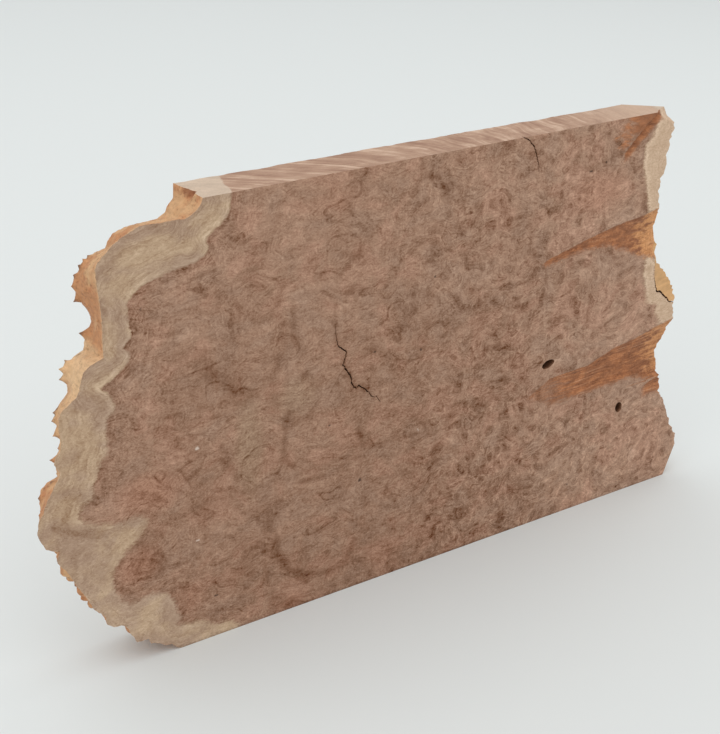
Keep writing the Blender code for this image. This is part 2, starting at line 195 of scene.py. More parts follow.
# Thorns and lobes that show along the left end: x, z and y of the tip, and how far the root spreads
LEFT_TIPS = (
    (-15, 213.5, 25, 4.5), (-21, 213.2, 25, 3.2), (-23.8, 212.3, 25, 3.2), (-26.3, 209.7, 25, 3.2),
    (-28.7, 205, 25, 3.6), (-30.5, 200, 25, 6.0), (-29.8, 191.8, 25, 3.6), (-28.9, 176.3, 25, 4.6),
    (-29.4, 165, 25, 4.0), (-37.1, 164.5, 25, 4.0), (-40.7, 161, 25, 4.4), (-40.7, 155, 25, 4.0),
    (-43.8, 141.5, 23, 3.4), (-46, 139.8, 23, 3.2), (-47.3, 136, 23, 4.2), (-47.4, 128, 23, 4.4),
    (-45.3, 120.5, 23, 2.8), (-50.2, 116, 23, 4.2), (-50.4, 104, 23, 3.4), (-54.2, 101.5, 23, 4.2),
    (-57.4, 97, 23, 4.2), (-55.8, 60, 10, 5.0), (-53, 56.2, 10, 3.6), (-48, 46.5, 10, 4.4),
    (-46.6, 42, 10, 3.2), (-42.6, 35.5, 10, 3.6), (-23.5, 14, 10, 4.2), (-17, 6.5, 10, 3.6),
)

# Scattered pips, as in the solid
PIP_SPACING = 8.0
PIP_GAPS = (0.35, 0.8)
PIP_HEIGHTS = (1.2, 3.2)
PIP_SPREADS = (2.6, 4.2)
LEFT_SEED = 7
RIGHT_SEED = 12
LEFT_PIP_ROW = 6
RIGHT_PIP_ROW = 2
LEFT_PIPS_BELOW = 66.0

# Small warts between them, which the solid leaves out
WARTS = 130
WART_HEIGHTS = (0.4, 1.1)
WART_SPREADS = (1.6, 3.2)

# Weathered flutes in the front face, in stations: x, lower edge, upper edge, greatest depth
FLUTES = (
    ((234, 165.8, 166.6, 0.0), (260, 169.0, 172.7, 0.7), (280, 166.7, 176.7, 1.4), (292, 161.7, 178.5, 2.0),
     (305, 155.5, 179.8, 2.9), (320, 152.0, 183.0, 4.0)),
    ((232, 84.0, 88.0, 0.0), (242, 78.0, 93.0, 0.5), (270, 78.7, 94.1, 1.0), (291, 79.2, 100.7, 1.7),
     (306, 80.0, 102.5, 2.6), (320, 75.0, 106.0, 3.8), (337, 73.0, 109.0, 4.6)),
    ((306, 63.0, 65.0, 0.0), (314, 64.5, 67.5, 0.6), (322, 66.0, 71.0, 1.2), (332, 63.0, 73.5, 2.2)),
    ((283, 214.5, 216.0, 0.0), (290, 219.5, 223.0, 0.8), (300, 227.5, 232.0, 1.4), (309, 233.8, 239.0, 1.8),
     (312, 235.5, 246.0, 3.5), (316, 234.2, 250.0, 6.5), (322, 231.5, 252.0, 9.0)),
    ((317, 136.0, 157.0, 0.0), (320, 130.0, 162.0, 1.2), (327, 125.0, 152.0, 2.4),
     (339, 118.0, 128.0, 3.2)),
)
FLUTE_POWER = 0.7
FLAKE_FLUTE = 4

# Drying cracks in the front face: their line in x and z, then width and depth
CRACKS = (
    (((97.4, 160), (97.5, 154), (98.9, 148), (100.6, 146.3), (104, 143), (102.8, 139.4), (101.9, 136.3),
      (106.3, 129.4), (106.8, 125.6), (108.2, 122.2), (110, 121.2), (111.3, 122.6), (114.4, 120),
      (117.5, 116.9), (118.8, 114.7), (120.6, 113.3), (122.2, 113.6), (125, 109)), 1.1, 6.0),
    (((211.5, 240.5), (215, 238.4), (218.3, 236.3), (221.3, 232), (223, 227.5), (224.5, 222.5),
      (224.8, 218.5)), 0.95, 5.0),
    (((317.5, 139.5), (319, 134.5), (320.5, 129.8), (323.5, 129), (327, 125.5), (329.5, 123.5), (331, 121),
      (338, 119.5)), 1.4, 7.0),
)
CRACK_STAND = 1.0
CRACK_END = 0.25
CRACK_STEP = 0.8
CRACK_WANDER = 0.35

# Borer holes in the front face: centre x and z, width, height, tilt in degrees, depth
HOLES = (
    (239.7, 102.6, 9.2, 5.0, 14.0, 15.0),
    (297.5, 59.6, 5.4, 6.8, 0.0, 13.0),
)
HOLE_SIDES = 40
HOLE_TAPER = 0.75
HOLE_WANDER = 0.06

# Sapwood: outlines in x and z of the pale wood along the two ends
SAPWOOD = (
    ((44, 260), (42, 238.7), (41, 230.7), (38, 226.7), (30, 221.2), (28, 218.7), (28.5, 214.7), (27, 211.7),
     (22, 208.7), (15, 207.7), (5, 205.7), (0, 204.7), (-6, 202.2), (-11, 199.7), (-13.5, 195.7),
     (-13.5, 188.7), (-13, 182.7), (-13.5, 178.7), (-17, 174.7), (-14, 171.7), (-14.5, 166.7),
     (-20.7, 162.7), (-26.4, 159.7), (-29.3, 157.3), (-25, 152.3), (-23.2, 147.3), (-23.6, 143.7),
     (-28, 140.7), (-28.6, 135.7), (-28.6, 122.7), (-33, 119.4), (-35, 112), (-38, 106), (-38, 101),
     (-44, 99), (-46, 95), (-43, 90), (-35, 86.5), (-28, 84.5), (-22, 85), (-14, 84.5), (-11, 81.5),
     (-12, 78.7), (-15, 73.7), (-22, 68.7), (-27, 63.7), (-31, 58.7), (-32, 50.7), (-30, 44.7),
     (-28, 40.7), (-24, 37.5), (-20, 37), (-12, 38.7), (-4, 35.7), (0, 30.7), (1, 23.7), (3, 18.7),
     (0, 15.7), (5, 13.7), (15, 12.7), (22, 7.7), (32, 5.7), (36, 1.7), (37, -10), (-120, -10),
     (-120, 260)),
    ((308.6, 231.7), (305.7, 225.7), (301.4, 221.7), (300.7, 208.7), (302.9, 202.7), (305, 195.1),
     (306.4, 187.3), (307.5, 180.7), (316, 181), (330, 183), (330, 250), (312, 240)),
    ((308, 144.4), (309, 153), (313, 154), (317, 149), (318, 137.7), (322, 130), (334, 121), (345, 116),
     (340, 107), (325.7, 107.3), (320, 116), (321.4, 121), (312, 125.1), (310.7, 133.7)),
)
SAP_LEAN = 0.25

# How far the fields reach, how deep below the front face the dark figure goes, how much wider narrow
# flutes read, and how cracks darken the wood beside them
SAP_REACH = 40.0
FLUTE_REACH = 20.0
TIP_REACH = 50.0
INK_DEPTH = 6.0
FLUTES_BACK = 8.0
WIDENED = 2.4
CRACK_INK = 0.3
CRACK_INK_WIDTH = 1.2
FAR = 1e9

# Dark outlines and bands of the figure on the front face: their line in x and z, width and strength
STROKES = (
    (((22, 160), (28, 148), (38, 140), (45, 132)), 5.0, 0.45),
    (((-18, 69), (-10, 73), (0, 76), (10, 78), (25, 75)), 4.0, 0.3),
    (((30, 111), (33, 104), (35, 96), (39, 88), (34, 85), (25, 86)), 1.6, 0.35),
    (((60, 46), (60, 38), (64, 30), (68, 24), (76, 18), (84, 17), (95, 15), (103, 19),
     (107, 26)), 2.2, 0.55),
    (((86, 16), (95, 14.5), (102, 17)), 2.4, 0.4),
    (((70, 118), (67, 110), (66, 98), (67, 90), (72, 86)), 2.0, 0.5),
    (((87, 120), (82, 114), (74, 111), (68, 110)), 1.8, 0.4),
    (((73, 175), (73, 165), (74, 155), (79, 150)), 2.0, 0.4),
    (((68, 190), (65, 180), (60, 174), (50, 172)), 2.0, 0.3),
    (((152, 228), (159, 226.5), (163, 221), (165.5, 212)), 1.6, 0.6),
    (((155, 233), (163, 231.5), (167, 226), (168, 217)), 1.4, 0.4),
    (((165.4, 219), (165.2, 212)), 0.9, 0.6),
    (((112, 101), (111, 94), (113, 89), (120, 85)), 2.0, 0.45),
    (((120, 84.5), (135, 85), (150, 83.5)), 1.6, 0.35),
    (((171, 88), (172, 93), (180, 94.5), (188, 92), (195, 87)), 1.8, 0.5),
    (((160, 106.5), (170, 106), (180, 106.5), (190, 105)), 1.3, 0.3),
    (((222, 188), (222, 176), (226, 169), (233, 162)), 1.7, 0.45),
    (((232, 152), (235, 144), (240, 140)), 1.6, 0.35),
    (((250, 140), (256, 136), (258, 129)), 1.6, 0.4),
    (((210, 71), (212, 67), (210, 63)), 1.1, 0.55),
    (((270, 70), (272, 66), (267, 60)), 1.3, 0.4),
    (((300, 4), (307, 6.5), (315, 6), (322, 4.5), (336, 4.5)), 2.0, 0.45),
    (((258, 216), (263, 213), (266, 216), (272, 216.5), (281, 219)), 1.1, 0.5),
    (((-57, 93), (-52, 97), (-49, 103), (-52, 109)), 4.0, 0.22),
    (((-58, 92), (-52, 88), (-45, 84), (-36, 82)), 1.8, 0.45),
    (((-20, 52), (-16, 60), (-11, 66), (-6, 62), (-3, 54), (-6, 48), (-13, 47)), 1.3, 0.3),
    (((-12, 54), (-10, 60), (-7, 61), (-5, 55)), 1.1, 0.3),
    (((20, 62), (32, 58), (40, 49), (47, 46), (55, 50)), 1.6, 0.25),
    (((115, 143), (125, 138), (135, 130)), 1.8, 0.25),
    (((140, 150), (148, 145), (158, 146), (163, 152)), 1.6, 0.25),
    (((180, 143), (192, 143), (196, 138), (199, 130)), 1.7, 0.35),
    (((62, 122), (60, 140), (66, 150)), 3.0, 0.2),
    (((97.5, 171), (97, 165), (97.2, 159)), 1.0, 0.4),
    (((123, 113), (125, 108), (124, 103)), 1.0, 0.35),
)

# Dark patches and eyes of the figure, and pale ones with negative strength: x, z, half sizes, strength
PATCHES = (
    (52, 199, 7, 1.3, 0.55), (48, 195, 5, 1.2, 0.45), (50, 191, 4, 1.2, 0.4), (8, 176, 5, 1.6, 0.45),
    (5, 134, 5, 1.4, 0.5), (-12, 149, 4, 1.3, 0.4), (28, 127, 5, 1.3, 0.45), (42, 134, 6, 2, 0.35),
    (11, 14, 2, 1.6, 0.5), (24, 15.5, 5, 2, 0.45), (57, 11, 3, 4, 0.4), (18, 44, 1.2, 3, 0.4),
    (57, 62, 8, 9, 0.3), (36, 203, 5, 4, -0.35), (37, 41, 4, 3, -0.55), (88, 205, 4, 4, -0.25),
    (56, 55, 4, 4, 0.2), (85, 198, 5, 2, 0.5), (103, 197, 4, 2, 0.4), (110, 195, 5, 2, 0.45),
    (106, 176, 4, 2, 0.45), (79, 136, 3, 3, 0.5), (116, 148, 4, 2, 0.4), (145, 166, 5, 3, 0.35),
    (142, 157, 6, 4, 0.35), (175, 196, 3, 2.5, 0.55), (178, 178, 3, 2.5, 0.4), (186, 177, 4, 1.5, 0.55),
    (197, 206, 5, 2, 0.45), (197, 231, 4, 2, 0.4), (182, 150, 8, 1.5, 0.4), (199, 153, 3, 3, 0.45),
    (168, 210, 3, 16, -0.3), (88, 75, 5, 1.4, 0.5), (79, 76, 6, 1.6, 0.6), (143, 62, 4, 2, 0.4),
    (168, 53, 4, 2, 0.45), (186, 58, 4, 2.5, 0.45), (194, 49, 2.5, 2, 0.5), (190, 45, 2, 4, 0.4),
    (148, 42, 2, 4, 0.4), (135, 46, 1.6, 2, 0.45), (160, 5, 1.5, 4, 0.45), (103, 5, 3, 3, 0.45),
    (68, 2, 5, 4, 0.4), (78, 13.5, 2.2, 1.4, 0.6), (107, 26, 1.4, 1.6, 0.5), (175, 40, 2.5, 9, -0.35),
    (183, 28, 2, 8, -0.35), (168, 32, 2, 9, -0.3), (193, 81, 1.3, 1.8, 0.6), (209, 226, 2.5, 2, 0.5),
    (212, 219, 3, 1.5, 0.5), (228, 205, 4, 2, 0.5), (243, 228, 6, 3.5, 0.35), (251, 225, 4, 3, 0.35),
    (248, 216, 7, 2, 0.35), (241, 204, 4, 3, 0.45), (251, 205, 2.5, 2, 0.45), (234, 195, 5, 2.5, 0.5),
    (225, 196, 3, 1.5, 0.4), (251, 191, 3, 2, 0.45), (205, 194, 3, 3, 0.45), (241, 191, 2, 2, 0.4),
    (205, 154, 1.8, 1.5, 0.6), (229.5, 149, 2, 2, 0.7), (224, 149, 3, 1.3, 0.4), (248, 132, 2.5, 4, 0.45),
    (207, 119, 3, 2.5, 0.45), (221, 98, 4, 2, 0.4), (252, 110, 2, 2, 0.45), (270, 145, 9, 3, 0.3),
    (304, 186, 3, 3, 0.45), (310, 146, 4, 1.4, 0.4), (258, 50, 4, 1.5, 0.4), (272, 53, 5, 1.6, 0.4),
    (289, 55, 2.5, 2, 0.4), (292, 49, 3, 1.5, 0.4), (287, 39.5, 6, 1.5, 0.45), (243, 36, 5, 3, 0.35),
    (212, 27, 3, 5, 0.4), (258, 17, 3, 1.5, 0.4), (260.5, 16.5, 1.1, 1.8, 0.4), (240, 22, 9, 1.4, 0.35),
    (322, 33, 5, 3, 0.25), (270, 195, 2.5, 15, -0.3), (257, 205, 3, 10, -0.25), (270, 182, 5, 4, -0.25),
    (200, 132, 1.6, 12, -0.25), (262, 41, 14, 4, -0.15), (20, 79, 30, 5, 0.25), (82, 82, 22, 6, 0.15),
    (13, 186, 18, 3, 0.1), (30, 165, 25, 5, 0.12),
)

# Small specks in the wood: x, z, half sizes; and pale chips
SPECKS = (
    (-7, 191.8, 0.7, 1.2), (111.8, 66, 1.3, 1.1), (7.7, 27.7, 0.6, 0.7), (-13, 31, 0.9, 0.5),
    (-36, 46, 0.8, 0.6), (23.5, 24.5, 1.2, 0.7), (158.7, 173.4, 0.6, 1.4), (150.4, 133.6, 0.7, 1.1),
    (121, 139.4, 1.2, 0.7), (-32, 86, 1.0, 0.4), (272.5, 216.6, 1.2, 0.7), (262, 213, 1.6, 0.7),
    (75.3, 131.4, 0.8, 0.7), (260.5, 17, 0.6, 1.4), (93.5, 104.3, 1.0, 0.8),
)
CHIPS = ((17.2, 112.7, 1.6, 1.0), (-6, 66, 1.1, 0.6), (14.8, 60.6, 1.3, 0.5), (149.5, 86, 0.7, 1.0))

# Olive tinge of the heartwood, and pinker places with negative strength: x, z, half sizes, strength
TINGES = (
    (46, 105, 9, 30, 0.9), (74, 126, 14, 12, 0.7), (62, 190, 14, 12, 0.3), (110, 185, 12, 8, 0.3),
    (-10, 96, 22, 12, -0.8), (-18, 57, 14, 13, -0.7), (5, 28, 14, 12, -0.5), (100, 226, 25, 9, -0.4),
    (180, 235, 14, 6, -0.4), (68, 4, 10, 7, -0.6), (128, 15, 16, 10, -0.4), (270, 200, 22, 14, -0.7),
    (325, 25, 18, 25, -0.5), (48, 225, 8, 12, -0.3), (250, 25, 30, 14, 0.3), (300, 135, 20, 15, -0.2),
    (4, 219, 17, 6, 1.0), (-6, 229, 16, 3, -0.9), (-18, 205, 8, 9, 0.2), (-38, 128, 6, 14, 0.6),
    (-24, 74, 10, 8, 0.5), (-10, 25, 9, 8, 0.4),
)

# Weathered brown stain beside the uppermost flute, in x and z, and the pale flake beside the edge crack
STAIN = ((279, 227), (282, 236), (290, 242), (314, 242), (306, 235.5), (298, 230.5), (291, 226), (285, 221))
FLAKE = ((316, 157), (319.5, 163), (330, 152), (342, 122), (338, 119.5), (331, 121), (327, 125.5),
         (323.5, 129), (320.5, 129.8), (319, 134.5), (317.5, 139.5))


def divided(points, longest):
    """The same open line, with its long straight runs divided evenly."""
    line = [Vector(points[0])]
    for start, end in zip(points, points[1:]):
        start, end = Vector(start), Vector(end)
        parts = max(1, math.ceil((end - start).length / longest))
        line += [start.lerp(end, part / parts) for part in range(1, parts + 1)]
    return line


def run_lengths(line):
    """How far along the line each of its points lies."""
    lengths = [0.0]
    for start, end in zip(line, line[1:]):
        lengths.append(lengths[-1] + (end - start).length)
    return lengths


def point_along(points, share):
    """The point at this share of an open line's length."""
    line = [Vector(point) for point in points]
    lengths = run_lengths(line)
    wanted = share * lengths[-1]
    for index in range(1, len(line)):
        if wanted <= lengths[index] or index == len(line) - 1:
            span = lengths[index] - lengths[index - 1]
            return line[index - 1].lerp(line[index], min(1.0, (wanted - lengths[index - 1]) / span))


def edge_columns(edge, longest):
    """Pairs of a front point and a back point, down one natural edge, and how far each bulges."""
    columns = []
    bulges = []
    for bulge, front, back in edge:
        line = divided(front, longest)
        lengths = run_lengths(line)
        pairs = [(point, point_along(back, run / lengths[-1])) for point, run in zip(line, lengths)]
        columns += pairs if not columns else pairs[1:]
        bulges += [bulge] * (len(columns) - len(bulges))
    return columns, bulges


def between(stations, x):
    """Lower edge, upper edge and depth of a flute at this x."""
    for first, second in zip(stations, stations[1:]):
        if first[0] <= x <= second[0]:
            share = (x - first[0]) / (second[0] - first[0])
            return [a + share * (b - a) for a, b in zip(first[1:], second[1:])]
    return None


def front_depth(x, z):
    """How far the front surface lies behind the sawn plane."""
    depth = 0.0
    for stations in FLUTES:
        section = between(stations, x)
        if section and section[0] < z < section[1]:
            low, high, deepest = section
            across = 2 * (z - low) / (high - low) - 1
            depth = max(depth, deepest * (1 - across * across) ** FLUTE_POWER)
    return depth


def outward(columns, index, side, reach):
    """The direction that the natural edge faces at this column, in x and z."""
    first = columns[max(0, index - reach)]
    last = columns[min(len(columns) - 1, index + reach)]
    along = (last[0] + last[1] - first[0] - first[1]).normalized()
    return side * Vector((-along.y, along.x))


def notched(place, share):
    """How far the chipped notch at the top left lies in from the even natural surface."""
    down = max(0.0, 1 - (HEIGHT - place.z) / NOTCH_HEIGHT)
    across = math.exp(-((share - NOTCH_MIDDLE) / NOTCH_WIDTH) ** 2)
    return NOTCH * down * across * (1 + NOTCH_RELIEF * noise.noise(place / NOTCH_GRAIN))


def back_depth(x, z):
    """Where the back face lies at this place, with its uneven upper rim."""
    rise = min(1.0, max(0.0, 1 - (HEIGHT - z) / RIM_REACH))
    uneven = 0.5 + noise.noise(Vector((x / RIM_WAVE, 4.2, 0)))
    uneven += 0.5 * noise.noise(Vector((x / RIM_RIPPLE, 1.7, 0)))
    return back_plane(x) - RIM_WOBBLE * rise * rise * max(0.0, uneven)


def back_plane(x):
    """Where the back face lies: the slab thins a little towards its right end."""
    return THICKNESS - THINNING * x


def edge_base(edge, side, finer):
    """Columns of points across the thickness, down one natural edge, without its thorns."""
    rows = COARSE_ROWS * finer
    columns, bulges = edge_columns(edge, COARSE_STEP / finer)
    faces_out = [outward(columns, index, side, FACING_REACH * finer) for index in range(len(columns))]
    runs = run_lengths([front for front, back in columns])
    blend = BULGE_BLEND * finer
    base = []
    fades = []
    for index, ((front, back), out, run) in enumerate(zip(columns, faces_out, runs)):
        rim = front_depth(front.x, front.y)
        near = bulges[max(0, index - blend):index + blend + 1]
        bulge = sum(near) / len(near)
        end_fade = min(1.0, run / END_FADE, (runs[-1] - run) / END_FADE)
        column = []
        for row in range(rows + 1):
            share = row / rows
            flat = front.lerp(back, share)
            place = Vector((flat.x, rim + share * (back_plane(flat.x) - rim), flat.y))
            swell = bulge + SWELL * noise.noise(place / SWELL_LENGTH)
            ripple = RIPPLE * noise.noise(place / RIPPLE_LENGTH + RIPPLE_SHIFT)
            middle = min(1.0, 4 * share * (1 - share))
            proud = end_fade * (swell * math.sin(math.pi * share) + ripple * middle)
            if finer > 1:
                grain = noise.noise(place / GRAIN_LENGTH) + 0.5 * noise.noise(place * 2 / GRAIN_LENGTH)
                proud += end_fade * GRAIN_RELIEF * grain
                if side > 0:
                    proud += end_fade * TEETH * (0.3 - abs(noise.noise(place / TEETH_LENGTH)) * 2)
                proud -= notched(place, share) if side < 0 and run < END_FADE else 0.0
            column.append(place + proud * Vector((out.x, 0, out.y)))
        base.append(column)
        fades.append(end_fade)
    return base, fades, faces_out


def pips(base, faces_out, seed, first_row, below, tips):
    """Scattered pips of one edge, each as its tip and the spread of its root."""
    draw = random.Random(seed)
    found = []
    run = 0.0
    due = PIP_SPACING / 2
    for index in range(1, len(base) - 1):
        run += (base[index][0] - base[index - 1][0]).length
        if run < due:
            continue
        due += PIP_SPACING * draw.uniform(*PIP_GAPS)
        row = draw.randint(first_row, COARSE_ROWS - 1)
        root = base[index][row]
        height = draw.uniform(*PIP_HEIGHTS)
        spread = draw.uniform(*PIP_SPREADS)
        near = any((root - tip).length < spread + reach for tip, reach in tips)
        if root.z > below or near:
            continue
        out = faces_out[index]
        found.append((root + height * Vector((out.x, 0, out.y)), spread))
    return found


def warts(base, faces_out, seed):
    """Small warts all over one natural edge, each as its tip and the spread of its root."""
    draw = random.Random(seed)
    found = []
    for _ in range(WARTS):
        index = draw.randrange(3, len(base) - 3)
        out = draw.uniform(*WART_HEIGHTS) * faces_out[index]
        root = base[index][draw.randint(2, COARSE_ROWS - 1)]
        found.append((root + Vector((out.x, 0, out.y)), draw.uniform(*WART_SPREADS)))
    return found


def raised(base, fades, tips):
    """The grid of points, drawn out to the thorns' tips, as an array of columns, rows and coordinates."""
    grid = np.array(base)
    fade = np.array(fades)[:, None]
    pulls = np.zeros_like(grid)
    strongest = np.zeros(grid.shape[:2])
    first = math.ceil(FIRST_THORN_SHARE * (grid.shape[1] - 1))
    inner = grid[1:-1, first:-1]
    for tip, spread in tips:
        tip = np.array(tip)
        nearest = np.linalg.norm(inner - tip, axis=2).argmin()
        start = inner.reshape(-1, 3)[nearest]
        share = np.clip(1 - np.linalg.norm(grid - start, axis=2) / spread, 0, 1)
        share[:, 0] = 0
        knob = KNOB_HEIGHT * np.sin(share * math.pi / 2)
        pull = (fade * (knob if tip[2] < KNOBS_BELOW else share ** THORN_POWER))[:, :, None] * (tip - start)
        pull[:, :, 1] = 0
        length = np.linalg.norm(pull, axis=2)
        better = length > strongest
        pulls[better] = pull[better]
        strongest[better] = length[better]
    return grid + pulls


def natural_edge(edge, side, listed, *scatter):
    """One natural edge as a grid of points, and the tips that stand out of it."""
    coarse, _, faces_out = edge_base(edge, side, 1)
    tips = [(Vector((x, y, z)), spread) for x, z, y, spread in listed]
    tips += pips(coarse, faces_out, *scatter, tips)
    base, fades, _ = edge_base(edge, side, FINER)
    small = warts(coarse, faces_out, scatter[0])
    return raised(base, fades, tips + small), [tip for tip, spread in tips]


def segment_distance(points, start, end):
    """How far each point lies from a straight segment."""
    start = np.array(start, float)
    run = np.array(end, float) - start
    share = np.clip((points - start) @ run / max(run @ run, SAME_POINT), 0, 1)
    return np.linalg.norm(points - start - share[:, None] * run, axis=1)


def line_distance(points, line, ring=False):
    """How far each point lies from an open line or a ring."""
    ends = list(line) + [line[0]] if ring else list(line)
    far = np.full(len(points), FAR)
    for start, end in zip(ends, ends[1:]):
        far = np.minimum(far, segment_distance(points, start, end))
    return far


def ring_depth(points, ring):
    """How far each point lies inside a ring, or outside it with a negative sign."""
    away = line_distance(points, ring, ring=True)
    return np.where(inside(points, ring), away, -away)


def inside(points, ring):
    """Whether each point lies inside a ring."""
    crossed = np.zeros(len(points), bool)
    for start, end in zip(ring, list(ring[1:]) + [ring[0]]):
        if start[1] == end[1]:
            continue
        spans = (start[1] > points[:, 1]) != (end[1] > points[:, 1])
        at = start[0] + (points[:, 1] - start[1]) * (end[0] - start[0]) / (end[1] - start[1])
        crossed ^= spans & (points[:, 0] < at)
    return crossed


def grid_inside(ring, step):
    """Points of an even triangular grid inside a ring and clear of it."""
    low = np.min(ring, axis=0)
    high = np.max(ring, axis=0)
    rise = step * math.sqrt(3) / 2
    rows = []
    for number, z in enumerate(np.arange(low[1], high[1], rise)):
        xs = np.arange(low[0] + (number % 2) * step / 2, high[0], step)
        rows.append(np.stack([xs, np.full(len(xs), z)], axis=1))
    points = np.concatenate(rows)
    points = points[inside(points, ring)]
    return points[line_distance(points, ring, ring=True) > RIM_CLEARANCE]


def fill(mesh, loop, flat, extra, lifted, slot, flip):
    """Fill a ring of mesh points with triangles; flat and lifted turn points to and from the plane."""
    outline = [Vector(flat(vert.co)) for vert in loop]
    count = len(outline)
    edges = [(index, (index + 1) % count) for index in range(count)]
    inner = [Vector(point) for point in extra]
    places, _, faces, sources, _, _ = delaunay_2d_cdt(outline + inner, edges, [], 1, SAME_POINT)
    verts = []
    for place, source in zip(places, sources):
        if source[0] < count:
            verts.append(loop[source[0]])
        else:
            verts.append(mesh.verts.new(lifted(*place)))
    for face in faces:
        corners = [verts[index] for index in face]
        made = mesh.faces.new(corners[::-1] if flip else corners)
        made.material_index = slot


def rim_points(mesh, start, end, step, depth_at):
    """New points along a long straight rim, between two points of the mesh."""
    count = math.ceil((end.co - start.co).length / step)
    places = [start.co.lerp(end.co, number / count) for number in range(1, count)]
    return [mesh.verts.new((place.x, depth_at(place.x, place.z), place.z)) for place in places]


SAWN, ENDS, NATURAL = range(3)


def slab_mesh():
    """The whole slab as one closed mesh, still without holes and cracks, and the tips of its thorns."""
    mesh = bmesh.new()
    rows = COARSE_ROWS * FINER
    left, left_tips = natural_edge(LEFT_EDGE, -1, LEFT_TIPS, LEFT_SEED, LEFT_PIP_ROW, LEFT_PIPS_BELOW)
    right, right_tips = natural_edge(RIGHT_EDGE, 1, (), RIGHT_SEED, RIGHT_PIP_ROW, HEIGHT)
    left = [[mesh.verts.new(point) for point in column] for column in left]
    right = [[mesh.verts.new(point) for point in column] for column in right]
    foot = [mesh.verts.new((BASE_RIGHT, back_plane(BASE_RIGHT) * row / rows, 0.0)) for row in range(rows + 1)]
    for columns, turned in ((left, False), (right + [foot], True)):
        for first, second in zip(columns, columns[1:]):
            for row in range(rows):
                corners = [first[row], first[row + 1], second[row + 1], second[row]]
                made = mesh.faces.new(corners[::-1] if turned else corners)
                made.material_index = NATURAL
    rims = {}
    for row, depth_at in ((0, front_depth), (rows, back_depth)):
        top = rim_points(mesh, left[0][row], right[0][row], FACE_STEP, depth_at)
        base = rim_points(mesh, foot[row], left[-1][row], FACE_STEP, depth_at)
        rims[row] = (top, base)
        down = [column[row] for column in right] + [foot[row]]
        up = [column[row] for column in reversed(left)]
        loop = up + top + down + base
        ring = [(vert.co.x, vert.co.z) for vert in loop]
        extra = grid_inside(ring, FACE_STEP if row == 0 else BACK_STEP)
        fill(
            mesh, loop, lambda co: (co.x, co.z), extra,
            lambda x, z, depth_at=depth_at: (x, depth_at(x, z), z), SAWN, row == rows,
        )
    ends = (((left[0], right[0]), 0, HEIGHT, False), ((left[-1], foot), 1, 0.0, True))
    for columns, index, level, turned in ends:
        near, far = rims[0][index], rims[rows][index]
        if index == 1:
            near, far = near[::-1], far[::-1]
        loop = columns[0][::-1] + near + columns[1] + far[::-1]
        ring = [(vert.co.x, vert.co.y) for vert in loop]
        extra = grid_inside(ring, END_STEP)
        fill(
            mesh, loop, lambda co: (co.x, co.y), extra,
            lambda x, y, level=level: (x, y, level), ENDS, turned,
        )
    bmesh.ops.recalc_face_normals(mesh, faces=mesh.faces)
    return mesh, left_tips + right_tips


def crack_mesh(line, width, depth):
    """A ragged wedge that follows a crack, open at the front and sharp at its bottom."""
    mesh = bmesh.new()
    points = divided(line, CRACK_STEP)
    draw = random.Random(len(points))
    sections = []
    for index, point in enumerate(points):
        along = (points[min(index + 1, len(points) - 1)] - points[max(index - 1, 0)]).normalized()
        taper = CRACK_END + (1 - CRACK_END) * math.sin(math.pi * (index + 0.5) / len(points))
        across = Vector((-along.y, along.x))
        point = point + CRACK_WANDER * draw.uniform(-1, 1) * across * taper
        side = across * width / 2 * taper * draw.uniform(0.75, 1.25)
        back = front_depth(point.x, point.y) + depth * taper
        sections.append([
            mesh.verts.new((point.x + side.x, -CRACK_STAND, point.y + side.y)),
            mesh.verts.new((point.x - side.x, -CRACK_STAND, point.y - side.y)),
            mesh.verts.new((point.x, back, point.y)),
        ])
    for first, second in zip(sections, sections[1:]):
        for corner in range(3):
            after = (corner + 1) % 3
            mesh.faces.new((first[corner], first[after], second[after], second[corner]))
    mesh.faces.new(sections[0][::-1])
    mesh.faces.new(sections[-1])
    bmesh.ops.recalc_face_normals(mesh, faces=mesh.faces)
    return mesh


def hole_mesh(x, z, width, height, tilt, depth):
    """An oval borer hole with an uneven rim, that narrows as it goes in."""
    mesh = bmesh.new()
    bmesh.ops.create_cone(
        mesh, cap_ends=True, segments=HOLE_SIDES, radius1=HOLE_TAPER / 2, radius2=0.5,
        depth=depth + CRACK_STAND,
    )
    for vert in mesh.verts:
        around = Vector((vert.co.x, vert.co.y, 0)).normalized()
        uneven = 1 + HOLE_WANDER * 2 * noise.noise(around * 1.7 + Vector((x, z, 0)))
        vert.co.x *= uneven
        vert.co.y *= uneven
    mesh.transform(
        Matrix.Translation((x, (depth - CRACK_STAND) / 2, z))
        @ Matrix.Rotation(-math.radians(tilt), 4, "Y")
        @ Matrix.Diagonal((width, 1, height, 1))
        @ Matrix.Rotation(math.radians(90), 4, "X")
    )
    return mesh


def linked_object(name, data):
    """A new object of the scene that shows this data."""
    obj = bpy.data.objects.new(name, data)
    bpy.context.scene.collection.objects.link(obj)
    return obj


def placed_object(name, mesh):
    """Turn millimetres into metres about the slab's base centre and make the object."""
    mesh.transform(Matrix.Diagonal((MM, MM, MM, 1)) @ Matrix.Translation((-MIDDLE_X, -MIDDLE_Y, 0)))
    data = bpy.data.meshes.new(name)
    mesh.to_mesh(data)
    mesh.free()
    return linked_object(name, data)


def linear(red, green, blue, light=1.0):
    """The surface colour that shows as this screen colour under this much light."""
    found = []
    for value in (red, green, blue):
        value /= 255
        value = value / 12.92 if value <= 0.04045 else ((value + 0.055) / 1.055) ** 2.4
        found.append(min(0.9, value / light))
    return (*found, 1.0)


# How brightly the studio lights the front face, the top and the left edge
FACE_LIGHT = 0.92
TOP_LIGHT = 1.15
EDGE_LIGHT = 1.06

